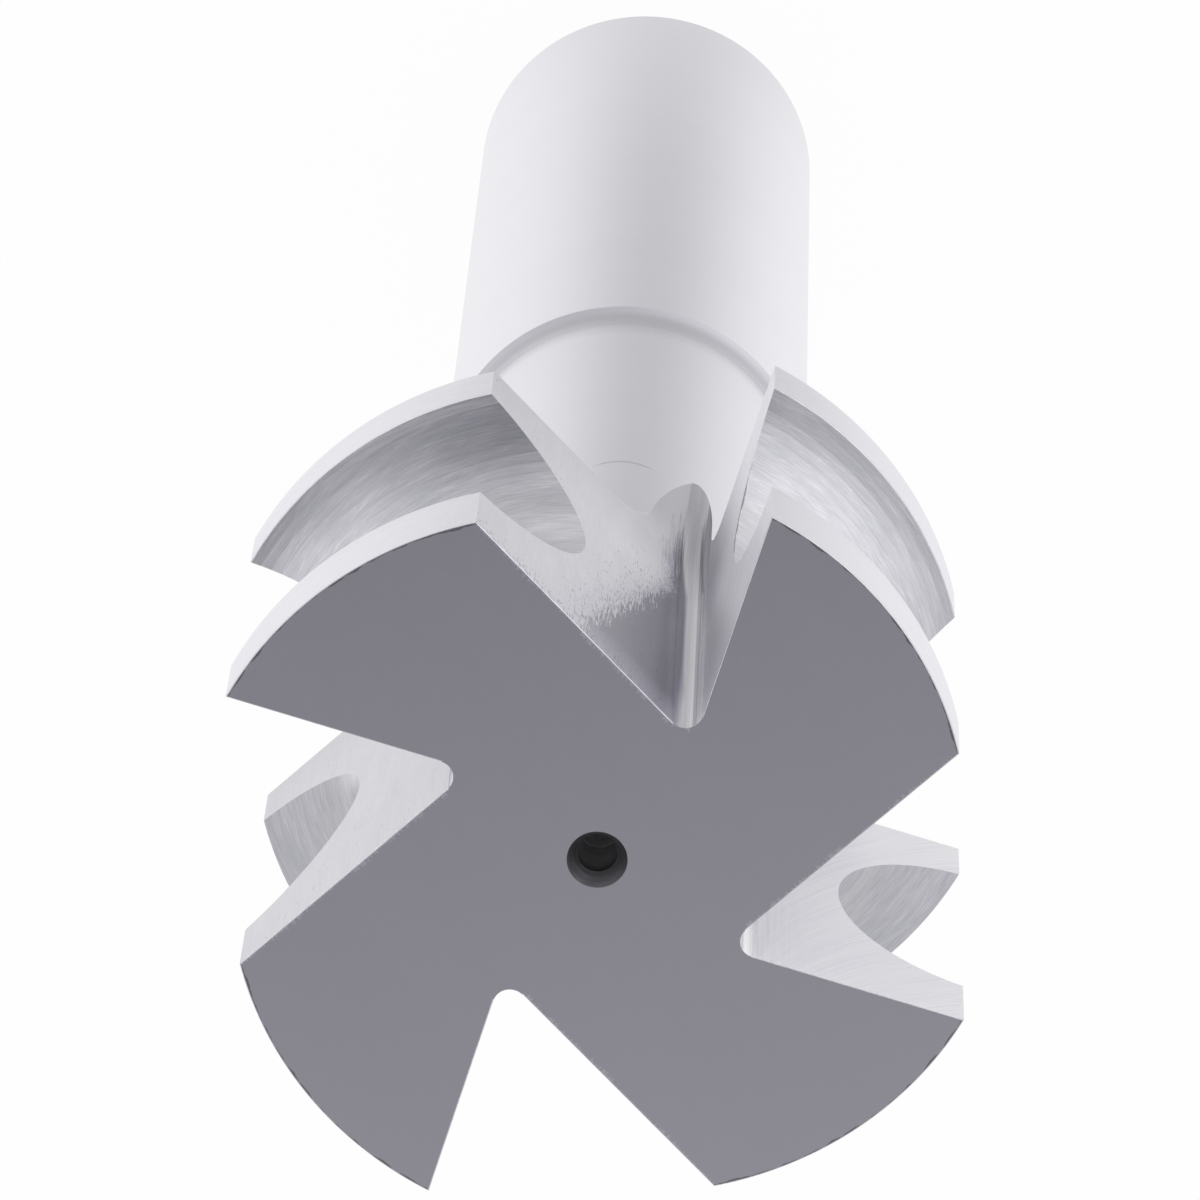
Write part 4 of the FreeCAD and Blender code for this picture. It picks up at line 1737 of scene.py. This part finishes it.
@dataclass(frozen=True)
class Studio:
    """A white table in a pale room, with a light wall on each side and a dimmer ceiling over the end face.

    Args:
        table_half: Half of the table's side, in metres.
        horizon: Level of the room's light from the horizon up to the ceiling.
        ceiling: Level overhead.
        ceiling_edge: Sine of the elevation at which the ceiling starts, and at which it is in full.
        even: Level of the even light that falls on everything.
        cool: How much bluer the room's light is.
        matt: Grey level of the table where it is lit.
        glow: Share of the table that is its own light, where it is seen or mirrored.
        mirrored: Level at which metal mirrors the table near the cutter.
        fading: Distances in metres over which that fades into the room's light.
        dimming: How the painted shadow of the camera's stand changes with the distance in metres.
        lamp_place: Place of the lamp in metres.
        lamp_aim: The point that it is turned to.
        lamp_size: Its diameter in metres.
        lamp_power: Its power in watts.
        panels: Brighter and dimmer stretches of the room.
        shade: The painted shadow of the camera's stand: the dimmer stretch of the table in front of it, as a
            panel at its level.
    """

    table_half: float = 8.0
    horizon: float = 0.52
    ceiling: float = 0.10
    ceiling_edge: Span = (0.921, 0.975)
    even: float = 0.9
    cool: float = 0.02
    matt: float = 0.9
    glow: float = 0.95
    mirrored: float = 0.95
    fading: Span = (0.07, 0.35)
    dimming: tuple[Span, ...] = (
        (0.008, 0.024, 0.21, 0.36),
        (0.04, 0.06, 0.0, 0.14),
        (0.065, 0.12, 0.0, -0.38),
    )
    lamp_place: tuple[float, float, float] = (-0.32, -0.86, 1.02)
    lamp_aim: tuple[float, float, float] = (0.0, 0.0, 0.09)
    lamp_size: float = 0.9
    lamp_power: float = 0.5
    panels: tuple[Panel, ...] = (
        Panel(-101.1, 19.5, 0.264, 2.5),
        Panel(-95.2, 9.6, 0.274, 13.6),
        Panel(28.0, 38.0, 0.446, 6.0),
        Panel(-14.0, 53.7, -0.619, 8.6),
        Panel(129.6, 69.8, -0.41, 40.0),
        Panel(136.4, 59.6, 0.27, 53.0),
        Panel(-146.6, 67.0, 0.163, 15.1),
    )
    shade: Panel = Panel(-54.5, 0.0, -1.0, 3.1)

    def room(self, way: Signal) -> Signal:
        """Level of the room's light from a direction.

        Args:
            way: The direction.

        Returns:
            The level.
        """
        level = way.parts()[2].ramp(*self.ceiling_edge, self.horizon, self.ceiling)
        for panel in self.panels:
            level += panel.light(way)
        return level

    def world(self) -> None:
        """Light from all round: shaped for reflections, even for the rest, and white to the camera.

        It isn't sampled as a lamp, because a lamp's samples don't count as glossy rays and would add the even
        light to the reflections.
        """
        world = bpy.data.worlds.new("room")
        bpy.context.scene.world = world
        world.use_nodes = True
        tree = Tree(world.node_tree)
        level = self.room(tree.out("ShaderNodeTexCoord", output="Generated"))
        grey = tree.out("ShaderNodeCombineColor", {0: level, 1: level, 2: level + self.cool})
        shaped, even, seen = (
            tree.out("ShaderNodeBackground", {"Color": colour, "Strength": strength})
            for colour, strength in ((grey, 1.0), (WHITE, self.even), (WHITE, 1.0))
        )
        path = {label: tree.out("ShaderNodeLightPath", output=label) for label in SEEN_BY}
        mirrored = path["Is Glossy Ray"].larger(path["Is Transmission Ray"])
        lit = tree.out("ShaderNodeMixShader", {0: mirrored, 1: even, 2: shaped})
        mix = tree.out("ShaderNodeMixShader", {0: path["Is Camera Ray"], 1: lit, 2: seen})
        tree.add("ShaderNodeOutputWorld", {"Surface": mix})
        world.cycles.sampling_method = "NONE"

    def sheen(self, tree: Tree) -> Signal:
        """Level at which metal mirrors the table, by the distance from the axis and the direction.

        It is white round the cutter and fades into the room's light at the horizon. A painted shadow of the
        camera's stand dims a fan of it, more and more up to 60 mm out and little past 120 mm.

        Args:
            tree: The table's nodes.

        Returns:
            The level.
        """
        place = tree.out("ShaderNodeTexCoord", output="Object")
        out = tree.out("ShaderNodeVectorMath", {0: place}, "Value", operation="LENGTH")
        way = tree.out("ShaderNodeVectorMath", {0: place}, operation="NORMALIZE")
        plain = tree.mixed(out.ramp(*self.fading), self.mirrored, self.room(way))
        # Painted shadow of the camera's stand on the table's light.
        near, middle, far = (out.ramp(*span) for span in self.dimming)
        return plain + self.shade.light(way) * (near + middle + far)

    def table(self) -> bpy.types.Object:
        """The white table that the cutter stands on, which keeps a faint shadow of it.

        Returns:
            The table.
        """
        half = self.table_half
        mesh = bpy.data.meshes.new("table")
        corners = [(-half, -half, 0), (half, -half, 0), (half, half, 0), (-half, half, 0)]
        mesh.from_pydata(corners, [], [(0, 1, 2, 3)])
        table = bpy.data.objects.new("table", mesh)
        bpy.context.scene.collection.objects.link(table)
        material = bpy.data.materials.new("white_table")
        material.use_nodes = True
        tree = Tree(material.node_tree)
        camera, glossy, through = (tree.out("ShaderNodeLightPath", output=label) for label in SEEN_BY)
        matt = tree.out("ShaderNodeBsdfDiffuse", {"Color": (*[self.matt] * 3, 1.0)})
        light = tree.out("ShaderNodeEmission", {"Color": WHITE, "Strength": self.sheen(tree).larger(camera)})
        share = camera.larger(glossy).larger(through) * self.glow
        mix = tree.out("ShaderNodeMixShader", {0: share, 1: matt, 2: light})
        tree.add("ShaderNodeOutputMaterial", {"Surface": mix})
        material.cycles.emission_sampling = "NONE"
        mesh.materials.append(material)
        return table

    def lamp(self) -> None:
        """An area lamp that points at the head."""
        data = bpy.data.lights.new("side_light", "AREA")
        data.shape, data.size, data.energy = "DISK", self.lamp_size, self.lamp_power
        lamp = bpy.data.objects.new("side_light", data)
        lamp.location = self.lamp_place
        towards = Vector(self.lamp_aim) - Vector(self.lamp_place)
        lamp.rotation_euler = towards.to_track_quat("-Z", "Y").to_euler()
        bpy.context.scene.collection.objects.link(lamp)

    def build(self) -> None:
        """Set the world, the table and the lamp."""
        self.world()
        table = self.table()
        self.lamp()
        bpy.context.scene.view_settings.view_transform = "Standard"


def main() -> None:
    """Build the cutter and set the scene."""
    logging.basicConfig(level=logging.INFO, format="%(name)s: %(message)s")
    cutter = Cutter().build()
    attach(cutter, "root")
    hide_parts("concave_cutter")
    Studio().build()
    Eye().build()


if __name__ == "__main__":
    main()
